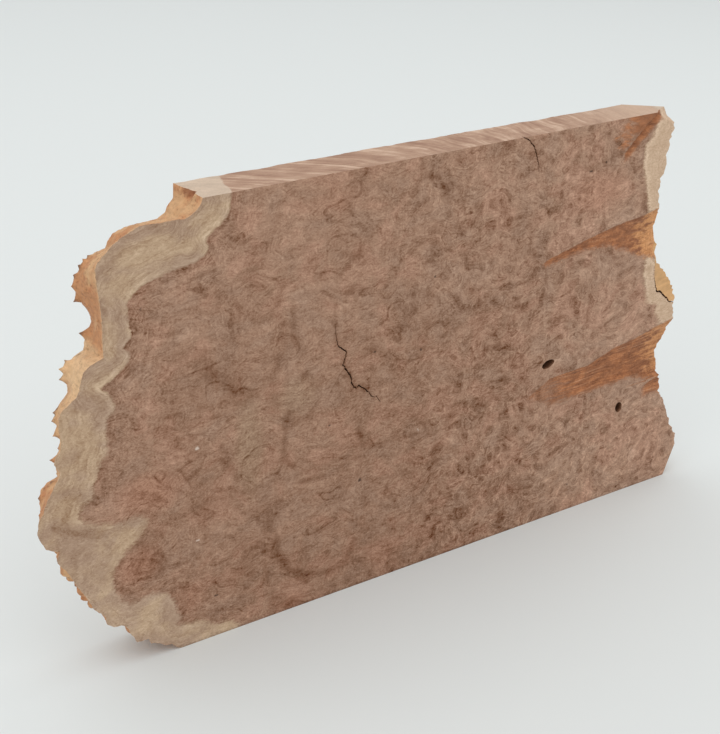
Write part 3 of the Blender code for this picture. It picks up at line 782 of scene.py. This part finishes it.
# Colours as they show on screen in the studio's light
HEART_BROWN = linear(150, 115, 93, FACE_LIGHT)
HEART_PINK = linear(156, 118, 96, FACE_LIGHT)
HEART_GREY = linear(148, 115, 94, FACE_LIGHT)
HEART_OLIVE = linear(148, 119, 95, FACE_LIGHT)
HEART_RED = linear(159, 115, 92, FACE_LIGHT)
SAP_MAUVE = linear(166, 138, 116, FACE_LIGHT)
SAP_CREAM = linear(183, 155, 127, FACE_LIGHT)
SAP_RIGHT = linear(200, 171, 144, FACE_LIGHT)
FLUTE_BROWN = linear(144, 92, 60, FACE_LIGHT)
FLUTE_ORANGE = linear(170, 110, 71, FACE_LIGHT)
FLUTE_OCHRE = linear(212, 152, 100, FACE_LIGHT)
FLUTE_PALE = linear(178, 134, 104, FACE_LIGHT)
FLAKE_OCHRE = linear(204, 160, 112, FACE_LIGHT)
SPECK_BROWN = linear(62, 42, 32, FACE_LIGHT)
CHIP_PALE = linear(214, 196, 182, FACE_LIGHT)
EDGE_OCHRE = linear(209, 166, 123, EDGE_LIGHT)
EDGE_ORANGE = linear(194, 139, 97, EDGE_LIGHT)
EDGE_RED = linear(180, 118, 80, EDGE_LIGHT)
EDGE_PALE = linear(222, 184, 142, EDGE_LIGHT)
EDGE_TIP = linear(122, 92, 74, EDGE_LIGHT)


class Value:
    """A number or colour that one material works out, with the usual signs for arithmetic."""

    def __init__(self, shade, socket):
        self.shade = shade
        self.socket = socket

    def __add__(self, other):
        return self.shade.math("ADD", self, other)

    def __sub__(self, other):
        return self.shade.math("SUBTRACT", self, other)

    def __mul__(self, other):
        return self.shade.math("MULTIPLY", self, other)

    def __truediv__(self, other):
        return self.shade.math("DIVIDE", self, other)

    def __abs__(self):
        return self.shade.math("ABSOLUTE", self)

    __radd__ = __add__


class Shade:
    """The nodes of one material."""

    def __init__(self, name, roughness):
        self.material = bpy.data.materials.new(name)
        self.material.use_nodes = True
        self.tree = self.material.node_tree
        self.shader = self.tree.nodes["Principled BSDF"]
        self.shader.inputs["Roughness"].default_value = roughness
        self.shader.inputs["Specular IOR Level"].default_value = 0.25
        spot = self.node("TexCoord", {}, ["Object"])
        self.place = self.vector("MULTIPLY_ADD", spot, (1 / MM,) * 3, (MIDDLE_X, MIDDLE_Y, 0))
        self.x, self.y, self.z = self.node("SeparateXYZ", {0: self.place}, range(3))

    def node(self, kind, inputs, outputs=(0,), **settings):
        """A new node with these numbers and values in its inputs; the outputs asked for, as values."""
        made = self.tree.nodes.new("ShaderNode" + kind)
        for name, value in settings.items():
            setattr(made, name, value)
        for key, value in inputs.items():
            if isinstance(value, Value):
                self.tree.links.new(value.socket, made.inputs[key])
            else:
                made.inputs[key].default_value = value
        found = [Value(self, made.outputs[key]) for key in outputs]
        return found[0] if len(found) == 1 else found

    def math(self, operation, *values):
        return self.node("Math", dict(enumerate(values)), operation=operation)

    def vector(self, operation, *values):
        return self.node("VectorMath", dict(enumerate(values)), operation=operation)

    def scaled(self, vector, factor):
        return self.node("VectorMath", {0: vector, 3: factor}, operation="SCALE")

    def joined(self, *values):
        return self.node("CombineXYZ", dict(enumerate(values)))

    def step(self, value, low, high):
        """Smooth rise from 0 at low to 1 at high, or a fall where low is above high."""
        inputs = dict(enumerate((value, low, high, 0.0, 1.0)))
        return self.node("MapRange", inputs, interpolation_type="SMOOTHSTEP")

    def measured(self, place, sizes):
        """A texture's first inputs: the place, measured in these sizes along x, y and z."""
        return {"Vector": self.vector("MULTIPLY", place, [1 / size for size in sizes]), "Scale": 1.0}

    def noise(self, place, sizes, detail=2.0, roughness=0.5, output="Fac"):
        """Smooth noise with features of these sizes."""
        inputs = {**self.measured(place, sizes), "Detail": detail, "Roughness": roughness}
        return self.node("TexNoise", inputs, [output])

    def centred(self, place, sizes, detail=2.0, roughness=0.5):
        """The same noise about zero."""
        return self.noise(place, sizes, detail, roughness) - 0.5

    def shifted(self, place, size, reach, detail=1.0):
        """The place, moved about by noise of this size, by up to about half of reach."""
        drift = self.vector("SUBTRACT", self.noise(place, (size,) * 3, detail, 0.5, "Color"), (0.5, 0.5, 0.5))
        return self.vector("ADD", place, self.scaled(drift, reach))

    def mix(self, factor, first, second):
        """Colours mixed by a factor."""
        return self.node("Mix", {0: factor, 6: first, 7: second}, [2], data_type="RGBA")

    def blend(self, factor, first, second):
        """Numbers mixed by a factor."""
        return self.node("Mix", {0: factor, 2: first, 3: second}, data_type="FLOAT")

    def attribute(self, name):
        return self.node("Attribute", {}, ["Fac"], attribute_name=name)

    def cells(self, place, sizes):
        """Distance to the nearest of scattered spots, and a random number for each spot."""
        away, pick = self.node("TexVoronoi", self.measured(place, sizes), ["Distance", "Color"], feature="F1")
        return away, self.node("SeparateXYZ", {0: pick})

    def border(self, place, sizes):
        """Distance to the border between such spots."""
        return self.node("TexVoronoi", self.measured(place, sizes), ["Distance"], feature="DISTANCE_TO_EDGE")

    def contours(self, field, often, width, fine):
        """Thin lines along the level curves of a field, and finer uneven striations that follow them."""
        lines = self.step(self.math("PINGPONG", field * often, 1.0), width, 0.0)
        lines = lines * self.step(self.noise(self.place, (16, 14, 12)), 0.36, 0.6)
        spread = self.joined(field * fine, self.x * 0.09, self.z * 0.09)
        return lines, self.centred(spread, (1, 1, 1), 3.0, 0.68)

    def toned(self, colour, tone):
        """The colour made lighter or darker; darker wood turns browner, lighter wood paler."""
        change = self.scaled((0.86, 1.1, 1.3), tone - 1.0)
        return self.vector("MULTIPLY", colour, self.vector("ADD", change, (1.0, 1.0, 1.0)))

    def finish(self, colour, bump, depth):
        """Link the colour and a fine relief, whose depth is in millimetres."""
        inputs = {"Strength": 1.0, "Distance": depth * MM, "Height": bump}
        normal = self.node("Bump", inputs, ["Normal"])
        for name, value in (("Base Color", colour), ("Normal", normal)):
            self.tree.links.new(value.socket, self.shader.inputs[name])
        return self.material


def sapwood_mask(shade):
    """How far inside the sapwood a place is, with an uneven border, and the share of sapwood."""
    place, x, z = shade.place, shade.x, shade.z
    step, centred, blend, attribute = shade.step, shade.centred, shade.blend, shade.attribute
    border = centred(place, (9, 9, 6), 3.0)
    rough = centred(place, (2.5, 2.5, 1.0), 3.0)
    softness = blend(step(z, 95, 165), 2.0, 0.6) + step(x, 200, 280)
    depth = attribute("sap") + border * 3.6 + rough * softness * 3.0
    return depth, step(depth / softness, -0.9, 1.0)


def sawn_face():
    """Sawn burl: swirling heartwood with eyes, pale sapwood with growth lines, and weathered flutes."""
    shade = Shade("sawn_burl", 0.62)
    place, x, z = shade.place, shade.x, shade.z
    step, centred, mix, blend = shade.step, shade.centred, shade.mix, shade.blend
    toned, scaled, shifted, attribute = shade.toned, shade.scaled, shade.shifted, shade.attribute

    # Figure of the heartwood
    bent = shifted(place, 34, 18)
    loose = shifted(bent, 9, 6)
    right = step(x, 95, 190)
    lower_right = step(x, 120, 175) * step(z, 80, 50)
    lobes = shade.noise(bent, (30, 20, 20), 2.0, 0.45)
    knots = shade.noise(bent, (8.5, 8, 7), 1.5, 0.4)
    outlines, ribs = shade.contours(lobes, 4.6, 0.13, 52)
    rings, curls = shade.contours(knots, 3.4, 0.17, 22)
    streaks = centred(loose, (12, 8, 3.4), 5.0, 0.68)
    mottle = centred(loose, (5.4, 5, 4.4), 5.0, 0.74)
    upright = centred(loose, (4.5, 8, 15), 3.0, 0.6)
    fibre = centred(shifted(place, 10, 14), (4.2, 4, 1.0), 3.0, 0.72)
    grain = centred(place, (1.3, 1.2, 1.0), 2.0, 0.7)
    pores = step(shade.noise(loose, (3.0, 3, 0.9), 2.0, 0.6), 0.6, 0.68)
    saw = centred(place, (1.1, 30, 90), 1.0)
    glints = step(shade.noise(place, (1.5, 1.5, 0.9), 1.0), 0.74, 0.8)
    eyes = step(knots, 0.45, 0.34)
    strands = step(abs(knots - 0.56), 0.03, 0.006) * step(streaks, -0.06, 0.04)
    spot, pick = shade.cells(loose, (4.4, 5, 4.0))
    small = step(spot, 0.46, 0.2) * step(pick, 0.4, 0.5)
    loops = step(shade.border(loose, (5.2, 5, 4.4)), 0.14, 0.0) * step(mottle, -0.04, 0.06)
    knot_share = right * 0.75 + 0.25
    ink = attribute("ink") * (1.0 + ribs * 3.0 + fibre * 3.0)
    # The tone grows a little lighter towards the top: partly the figure, partly painted light from above
    tone = (
        1.0 + (lobes - 0.5) * 0.5 + outlines * blend(right, -0.3, -0.15) + ribs * blend(right, 1.05, 0.6)
        + rings * knot_share * -0.26 + curls * knot_share * 1.3 + eyes * knot_share * -0.32
        + strands * knot_share * 0.2 + loops * (lower_right * 0.24 + right * 0.12)
        - small * (lower_right * 0.14 + right * 0.09) + streaks * blend(right, 0.95, 0.5)
        + mottle * blend(right, 0.6, 1.0) + upright * right * 0.7 + ink * blend(right, -0.7, -0.5)
        + fibre * 1.1 + grain * 1.1 + pores * -0.2 + glints * 0.3 + saw * 0.2 + step(z, 130, 239) * 0.07
        + step(x, 180, 300) * 0.18 + step(x, 265, 310) * step(z, 185, 160) * 0.07
        + step(x, 230, 265) * step(z, 180, 205) * -0.07 + step(z, 95, 30) * step(x, 190, 130) * -0.075
        + step(x, 85, 120) * step(x, 255, 200) * step(z, 170, 135) * -0.07 + 0.1
    )
    warmth = centred(place, (46, 30, 36)) + centred(bent, (15, 12, 13), 2.0) * 1.2
    heart = mix(step(warmth, -0.2, 0.0), HEART_GREY, HEART_BROWN)
    heart = mix(step(warmth, 0.0, 0.2), heart, HEART_PINK)
    tinge = attribute("tinge")
    heart = mix(step(tinge, 0.05, 1.0) * 0.7, heart, HEART_OLIVE)
    heart = mix(step(tinge, -0.05, -0.9) * 0.75, heart, HEART_RED)

    # Growth lines beside the border of the sapwood
    depth, sap = sapwood_mask(shade)
    upper = step(z, 95, 150)
    rings_at = depth * 0.07 + centred(bent, (22, 14, 12), 3.0) * 0.9
    lines, growth = shade.contours(rings_at, 4.5, 0.26, 15)
    near = step(depth, -30.0, -4.0) * step(x, 110, 50)
    band = step(depth, -5.0, -0.4) * blend(upper, -0.04, -0.17)
    flow = near * (growth * 1.5 + lines * -0.12)
    heart = toned(heart, tone + band + flow)

    # Sapwood
    veins = centred(shifted(place, 12, 16), (8, 8, 5.5), 5.0, 0.68)
    pale_line = step(depth, 0.2, 1.4) * step(depth, 3.6, 1.6) * blend(upper, 0.04, 0.17)
    left = blend(step(x, 200, 280), 1.0, 0.5)
    sap_tone = (
        1.0 + lines * left * -0.15 + growth * left * 1.1 + veins * left * 0.6 + pale_line + fibre * 0.5
        + grain * 0.6 + ink * -0.6 + pores * -0.07 + glints * 0.12
        + step(z, 175, 140) * step(z, 60, 90) * left * -0.03 + step(z, 60, 42) * 0.11
    )
    cream = centred(bent, (20, 18, 14), 3.0) + tinge * 0.22
    sapwood = mix(step(cream, -0.12, 0.16), SAP_MAUVE, SAP_CREAM)
    sapwood = mix(step(x, 250, 290), sapwood, SAP_RIGHT)
    colour = mix(sap, heart, toned(sapwood, sap_tone))

    # Weathered flutes
    fuzzy = centred(place, (6, 5, 2.4), 4.0, 0.65) * 7.0 + grain * 4.0
    low = attribute("flute_low") + fuzzy + step(z, 112, 104) * 1.5
    high = attribute("flute_high") + centred(place, (5, 5, 3), 2.0) * 1.2
    flute = step(low, -2.4, 1.6) * step(high, -0.5, 0.6)
    striped = centred(shifted(place, 30, 3), (26, 12, 1.1), 3.0, 0.6)
    worn = centred(place, (8, 6, 3.5), 3.0, 0.6)
    old = mix(step(worn, -0.12, 0.14), FLUTE_BROWN, FLUTE_ORANGE)
    upper_one = step(z, 118, 125)
    end_x = blend(upper_one, 320, 306) + step(z, 195, 205) * 20
    ochre = step(x + worn * 60 - end_x, -8, 8) * blend(upper_one, 0.55, 0.9) * step(z, 74, 80)
    old = mix(ochre, old, FLUTE_OCHRE)
    old = mix(step(striped, 0.07, 0.17) * 0.35, old, FLUTE_PALE)
    # Painted shade inside the flutes, darker along their lower and upper edges
    shade_by_low_edge = step(attribute("flute_low"), 6.0, 1.0)
    shade_by_high_edge = step(attribute("flute_high"), 5.5, 0.8)
    # Tone of the weathered flute surface, which also carries the painted edge shade
    wear_and_shade_tone = (
        1.0 + striped * blend(step(z, 120, 110), 0.6, 1.7) + worn * blend(ochre, 0.5, -0.4) + grain * 1.1
        + fibre * 0.6 + shade_by_low_edge * -0.08 + shade_by_high_edge * -0.09 + step(z, 76, 72) * 0.12
    )
    old = toned(old, wear_and_shade_tone)
    faint = blend(step(x + striped * 120, 230, 258), 0.45, 0.96)
    faint = blend(step(z, 110, 130), faint, 0.93)
    bare = (
        step(x, 311, 315) * step(z, 205, 214) + step(x, 321, 313) * step(z, 74, 70)
        + step(x, 288, 284) * step(z, 205, 214)
    )
    flute = flute * step(bare, 1.0, 0.0)
    colour = mix(flute * faint, colour, old)

    # Stain, flake, painted contact shadow along the lower rim, specks and chips
    stain = attribute("stain") + worn * 8 + striped * 8 + grain * 4
    stain = step(stain, -3.0, 1.5) * step(x + worn * 50, 276, 296)
    stained = mix(step(x + striped * 60, 283, 298), FLUTE_ORANGE, FLUTE_BROWN)
    stained = scaled(stained, 1.06 + worn + fibre * 1.2)
    colour = mix(stain * 0.9, colour, stained)
    flake = step(attribute("flake") + grain * 2, -0.4, 0.6)
    colour = mix(flake, colour, scaled(FLAKE_OCHRE[:3], 1.0 + worn * 0.6 + striped * 0.4))
    # Painted contact shadow: the face darkens within about 1.6 mm of the base
    colour = scaled(colour, 1.0 + step(z + grain * 3, 1.6, 0.2) * -0.28)
    colour = mix(step(attribute("speck"), 0.25, 0.8) * 0.85, colour, SPECK_BROWN)
    colour = mix(step(attribute("chip"), 0.3, 0.8) * 0.8, colour, CHIP_PALE)
    relief = fibre + grain * 0.5 + flute * striped * 6.0 + flute * worn * 3.0
    return shade.finish(colour, relief, 0.12)


def sawn_ends():
    """The sawn top and base: end cuts with slanting light streaks, cream where they cross the sapwood."""
    shade = Shade("sawn_ends", 0.62)
    place, x, y, z = shade.place, shade.x, shade.y, shade.z
    step, centred, mix, blend = shade.step, shade.centred, shade.mix, shade.blend
    scaled, shifted = shade.scaled, shade.shifted
    slant = blend(step(x, 60, 225), 1.1, -0.1)
    along = shifted(shade.joined(x + y * slant, y, z), 16, 8)
    streaks = centred(along, (2.6, 20, 9), 4.0, 0.62)
    wide = centred(along, (9, 40, 20), 3.0)
    blotch = centred(place, (14, 7, 14), 3.0, 0.6)
    fibre = centred(place, (1.0, 1.0, 1.0), 2.0)
    value = 0.5 + streaks * 1.7 + wide * 1.2 + blotch * 0.8
    wood = mix(step(value, 0.05, 0.6), linear(158, 120, 98, TOP_LIGHT), linear(186, 150, 126, TOP_LIGHT))
    wood = mix(step(value, 0.5, 0.95), wood, linear(214, 182, 158, TOP_LIGHT))
    wood = mix(step(x, 245, 310) * 0.75, wood, linear(212, 182, 158, TOP_LIGHT))
    _, sap = sapwood_mask(shade)
    cream = scaled(linear(211, 188, 166, TOP_LIGHT)[:3], 1.0 + streaks * 0.5 + blotch * 0.4)
    colour = mix(sap, wood, cream)
    colour = scaled(colour, 1.0 + fibre * 0.3)
    return shade.finish(colour, fibre + streaks * 0.6, 0.1)


def natural_surface():
    """The debarked edges: tan and orange, ochre in places, with grey-brown thorn tips and fine pits."""
    shade = Shade("natural_edge", 0.7)
    place, x, y, z = shade.place, shade.x, shade.y, shade.z
    step, centred, mix, blend = shade.step, shade.centred, shade.mix, shade.blend
    scaled, attribute = shade.scaled, shade.attribute
    patches = centred(place, (20, 14, 16), 3.0)
    blotches = centred(place, (6, 6, 6), 3.0, 0.6)
    pits = step(shade.noise(place, (1.5, 1.5, 1.5), 2.0), 0.58, 0.7)
    grain = centred(place, (2.2, 5, 2.2), 4.0, 0.65)
    lower = step(z, 172, 162) * 0.32 + step(z, 200, 216) * 0.24 + step(z, 120, 80) * -0.19 - 0.19
    colour = mix(step(patches + lower, -0.1, 0.14), EDGE_ORANGE, EDGE_OCHRE)
    colour = mix(step(blotches, 0.02, 0.18) * 0.6, colour, EDGE_RED)
    stretch = step(z, 177, 170) * step(z, 146, 158) * step(x, 60, 0)
    colour = mix(stretch * 0.9, colour, EDGE_PALE)
    # Painted highlight: a pale line along the front rim of the natural edge
    rim = step(y + grain * 3, 2.0, 0.6)
    colour = mix(rim * 0.4, colour, EDGE_PALE)
    colour = scaled(colour, 1.0 + pits * -0.2 + grain * 0.8)
    corner = step(x, 280, 310) * step(z, 218, 232)
    colour = mix(corner * 0.85, colour, linear(222, 200, 176, EDGE_LIGHT))
    tip = step(attribute("tip") + blotches * 6, 2.6, 0.4) * blend(step(x, 100, 200), 0.8, 0.25)
    colour = mix(tip, colour, EDGE_TIP)
    across = y + grain * 8
    notch = step(z, 233.5, 237.5) * step(x, 60, 40) * step(across, 9, 12) * step(across, 22, 18)
    colour = mix(notch * 0.8, colour, linear(136, 82, 54, EDGE_LIGHT))
    relief = pits * -0.5 + grain
    return shade.finish(colour, relief, 0.35)


def inner_wood():
    """The dark brown walls of cracks and borer holes, with painted shade that darkens them further in."""
    shade = Shade("inner_wood", 0.8)
    place, y = shade.place, shade.y
    step, centred, mix, scaled = shade.step, shade.centred, shade.mix, shade.scaled
    uneven = centred(place, (1.5, 3, 1.5), 3.0)
    # Painted shade: lighter at the mouth, darker deeper in
    light = step(y, 2.2, -0.2)
    colour = mix(light, linear(98, 64, 43), linear(142, 102, 76))
    colour = scaled(colour, 1.0 + uneven * 0.6)
    return shade.finish(colour, uneven, 0.3)


def soft_spots(points, spots):
    """The sum of soft oval spots at each point."""
    total = np.zeros(len(points))
    for x, z, half_x, half_z, strength in spots:
        away = ((points[:, 0] - x) / half_x) ** 2 + ((points[:, 1] - z) / half_z) ** 2
        total += strength * np.exp(-away ** 1.5)
    return total


def flute_edges(points):
    """How far each point lies inside the nearest flute's two edges; narrow flutes read as wider."""
    low_best = np.full(len(points), -FLUTE_REACH)
    high_best = np.full(len(points), -FLUTE_REACH)
    for stations in FLUTES[:FLAKE_FLUTE]:
        xs, lows, highs, _ = np.array(stations, float).T
        low = np.interp(points[:, 0], xs, lows)
        high = np.interp(points[:, 0], xs, highs)
        above = points[:, 1] - low + np.clip(WIDENED - 0.3 * (high - low), 0, WIDENED)
        below = high - points[:, 1]
        before = np.clip((xs[0] - points[:, 0]) * 0.6, 0, FLUTE_REACH)
        above, below = (np.clip(edge - before, -FLUTE_REACH, FLUTE_REACH) for edge in (above, below))
        better = np.minimum(above, below) > np.minimum(low_best, high_best)
        low_best[better] = above[better]
        high_best[better] = below[better]
    return low_best, high_best


def store(mesh, name, values):
    """Keep one number for each point of the mesh."""
    attribute = mesh.attributes.new(name, "FLOAT", "POINT")
    attribute.data.foreach_set("value", np.asarray(values, np.float32))


def store_fields(mesh, tips):
    """Write the fields that the materials read, by formula from each point's place."""
    co = np.zeros(len(mesh.vertices) * 3, np.float32)
    mesh.vertices.foreach_get("co", co)
    spots = co.reshape(-1, 3).astype(float) / MM + (MIDDLE_X, MIDDLE_Y, 0)
    face = spots[:, [0, 2]]
    leaning = face - np.stack([SAP_LEAN * spots[:, 1], np.zeros(len(spots))], axis=1)
    sap = np.max([ring_depth(leaning, ring) for ring in SAPWOOD], axis=0)
    store(mesh, "sap", np.clip(sap, -SAP_REACH, SAP_REACH))
    fade = np.exp(-np.clip(spots[:, 1], 0, 60) / INK_DEPTH)
    ink = soft_spots(face, PATCHES)
    for line, width, strength in STROKES:
        ink = np.maximum(ink, strength * np.exp(-(line_distance(face, line) / width) ** 2))
    for line, _, _ in CRACKS[:2]:
        ink = np.maximum(ink, CRACK_INK * np.exp(-(line_distance(face, line) / CRACK_INK_WIDTH) ** 2))
    store(mesh, "ink", ink * fade)
    store(mesh, "tinge", soft_spots(face, TINGES))
    for name, marks in (("speck", SPECKS), ("chip", CHIPS)):
        store(mesh, name, soft_spots(face, [(*mark, 1.0) for mark in marks]) * fade)
    low, high = flute_edges(face)
    behind = np.clip(spots[:, 1] - FLUTES_BACK, 0, FLUTE_REACH)
    store(mesh, "flute_low", low - behind)
    store(mesh, "flute_high", high - behind)
    for name, ring in (("stain", STAIN), ("flake", FLAKE)):
        store(mesh, name, np.clip(ring_depth(face, ring), -FLUTE_REACH, FLUTE_REACH) - behind)
    nearest = np.full(len(spots), FAR)
    for tip in tips:
        nearest = np.minimum(nearest, np.linalg.norm(spots - np.array(tip), axis=1))
    store(mesh, "tip", np.clip(nearest, 0, TIP_REACH))


def build_slab():
    """The slab, with its holes and cracks cut, its fields and its materials."""
    mesh, tips = slab_mesh()
    slab = placed_object("burl_slab", mesh)
    for material in (sawn_face(), sawn_ends(), natural_surface()):
        slab.data.materials.append(material)
    inner = inner_wood()
    shapes = [crack_mesh(*crack) for crack in CRACKS] + [hole_mesh(*hole) for hole in HOLES]
    for number, shape in enumerate(shapes):
        cutter = placed_object(f"cutter_{number}", shape)
        cutter.data.materials.append(inner)
        cut = slab.modifiers.new(f"cut_{number}", "BOOLEAN")
        cut.operation = "DIFFERENCE"
        cut.material_mode = "TRANSFER"
        cut.object = cutter
    graph = bpy.context.evaluated_depsgraph_get()
    cut_mesh = bpy.data.meshes.new_from_object(slab.evaluated_get(graph))
    slab.modifiers.clear()
    slab.data = cut_mesh
    for obj in [obj for obj in bpy.data.objects if obj.name.startswith("cutter_")]:
        bpy.data.objects.remove(obj, do_unlink=True)
    store_fields(cut_mesh, tips)
    cut_mesh.polygons.foreach_set("use_smooth", [True] * len(cut_mesh.polygons))
    cut_mesh.set_sharp_from_angle(angle=math.radians(SHARP_ANGLE))
    return slab


def studio():
    """A pale floor, soft light and the camera."""
    bpy.ops.mesh.primitive_plane_add(size=14, location=(0, 0, 0))
    floor = bpy.context.object
    floor.name = "floor"
    pale = bpy.data.materials.new("pale_floor")
    pale.use_nodes = True
    shader = pale.node_tree.nodes["Principled BSDF"]
    shader.inputs["Base Color"].default_value = (0.738, 0.766, 0.763, 1)
    shader.inputs["Roughness"].default_value = 0.75
    shader.inputs["Specular IOR Level"].default_value = 0.15
    floor.data.materials.append(pale)

    world = bpy.data.worlds.new("soft_room")
    bpy.context.scene.world = world
    world.use_nodes = True
    background = world.node_tree.nodes["Background"]
    background.inputs["Color"].default_value = (0.98, 0.99, 0.985, 1)
    background.inputs["Strength"].default_value = 0.68

    for name, place, aim, size, power in (
        ("overhead", (-1.0, 0.3, 2.6), (0, 0.2, 0), 2.8, 20),
        ("front_left", (-2.2, -1.5, 1.2), (0, 0, 0.12), 2.2, 13),
        ("front_high", (0.3, -1.6, 2.6), (0.1, 0.0, 0), 2.4, 11),
        ("right_floor", (1.3, 0.3, 1.6), (0.5, 0.2, 0), 1.2, 4),
        ("far_floor", (0.0, 2.2, 2.0), (0.2, 2.1, 0), 1.8, 5),
    ):
        data = bpy.data.lights.new(name, "AREA")
        data.size = size
        data.energy = power
        lamp = linked_object(name, data)
        lamp.location = place
        lamp.rotation_mode = "QUATERNION"
        lamp.rotation_quaternion = (Vector(aim) - Vector(place)).to_track_quat("-Z", "Y")

    data = bpy.data.cameras.new("camera")
    data.lens = 68.66
    data.sensor_width = 36.0
    camera = linked_object("camera", data)
    right = Vector((0.8413, -0.5406, 0.0)).normalized()
    ahead = Vector((0.4903, 0.7631, -0.4210)).normalized()
    above = right.cross(ahead)
    turn = Matrix((right, above, -ahead)).transposed()
    camera.matrix_world = Matrix.Translation((-0.3837, -0.56646, 0.4374)) @ turn.to_4x4()
    bpy.context.scene.camera = camera
    bpy.context.scene.view_settings.view_transform = "Standard"


slab = build_slab()
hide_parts("mallee_burl_slab")
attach(slab, "root")
studio()
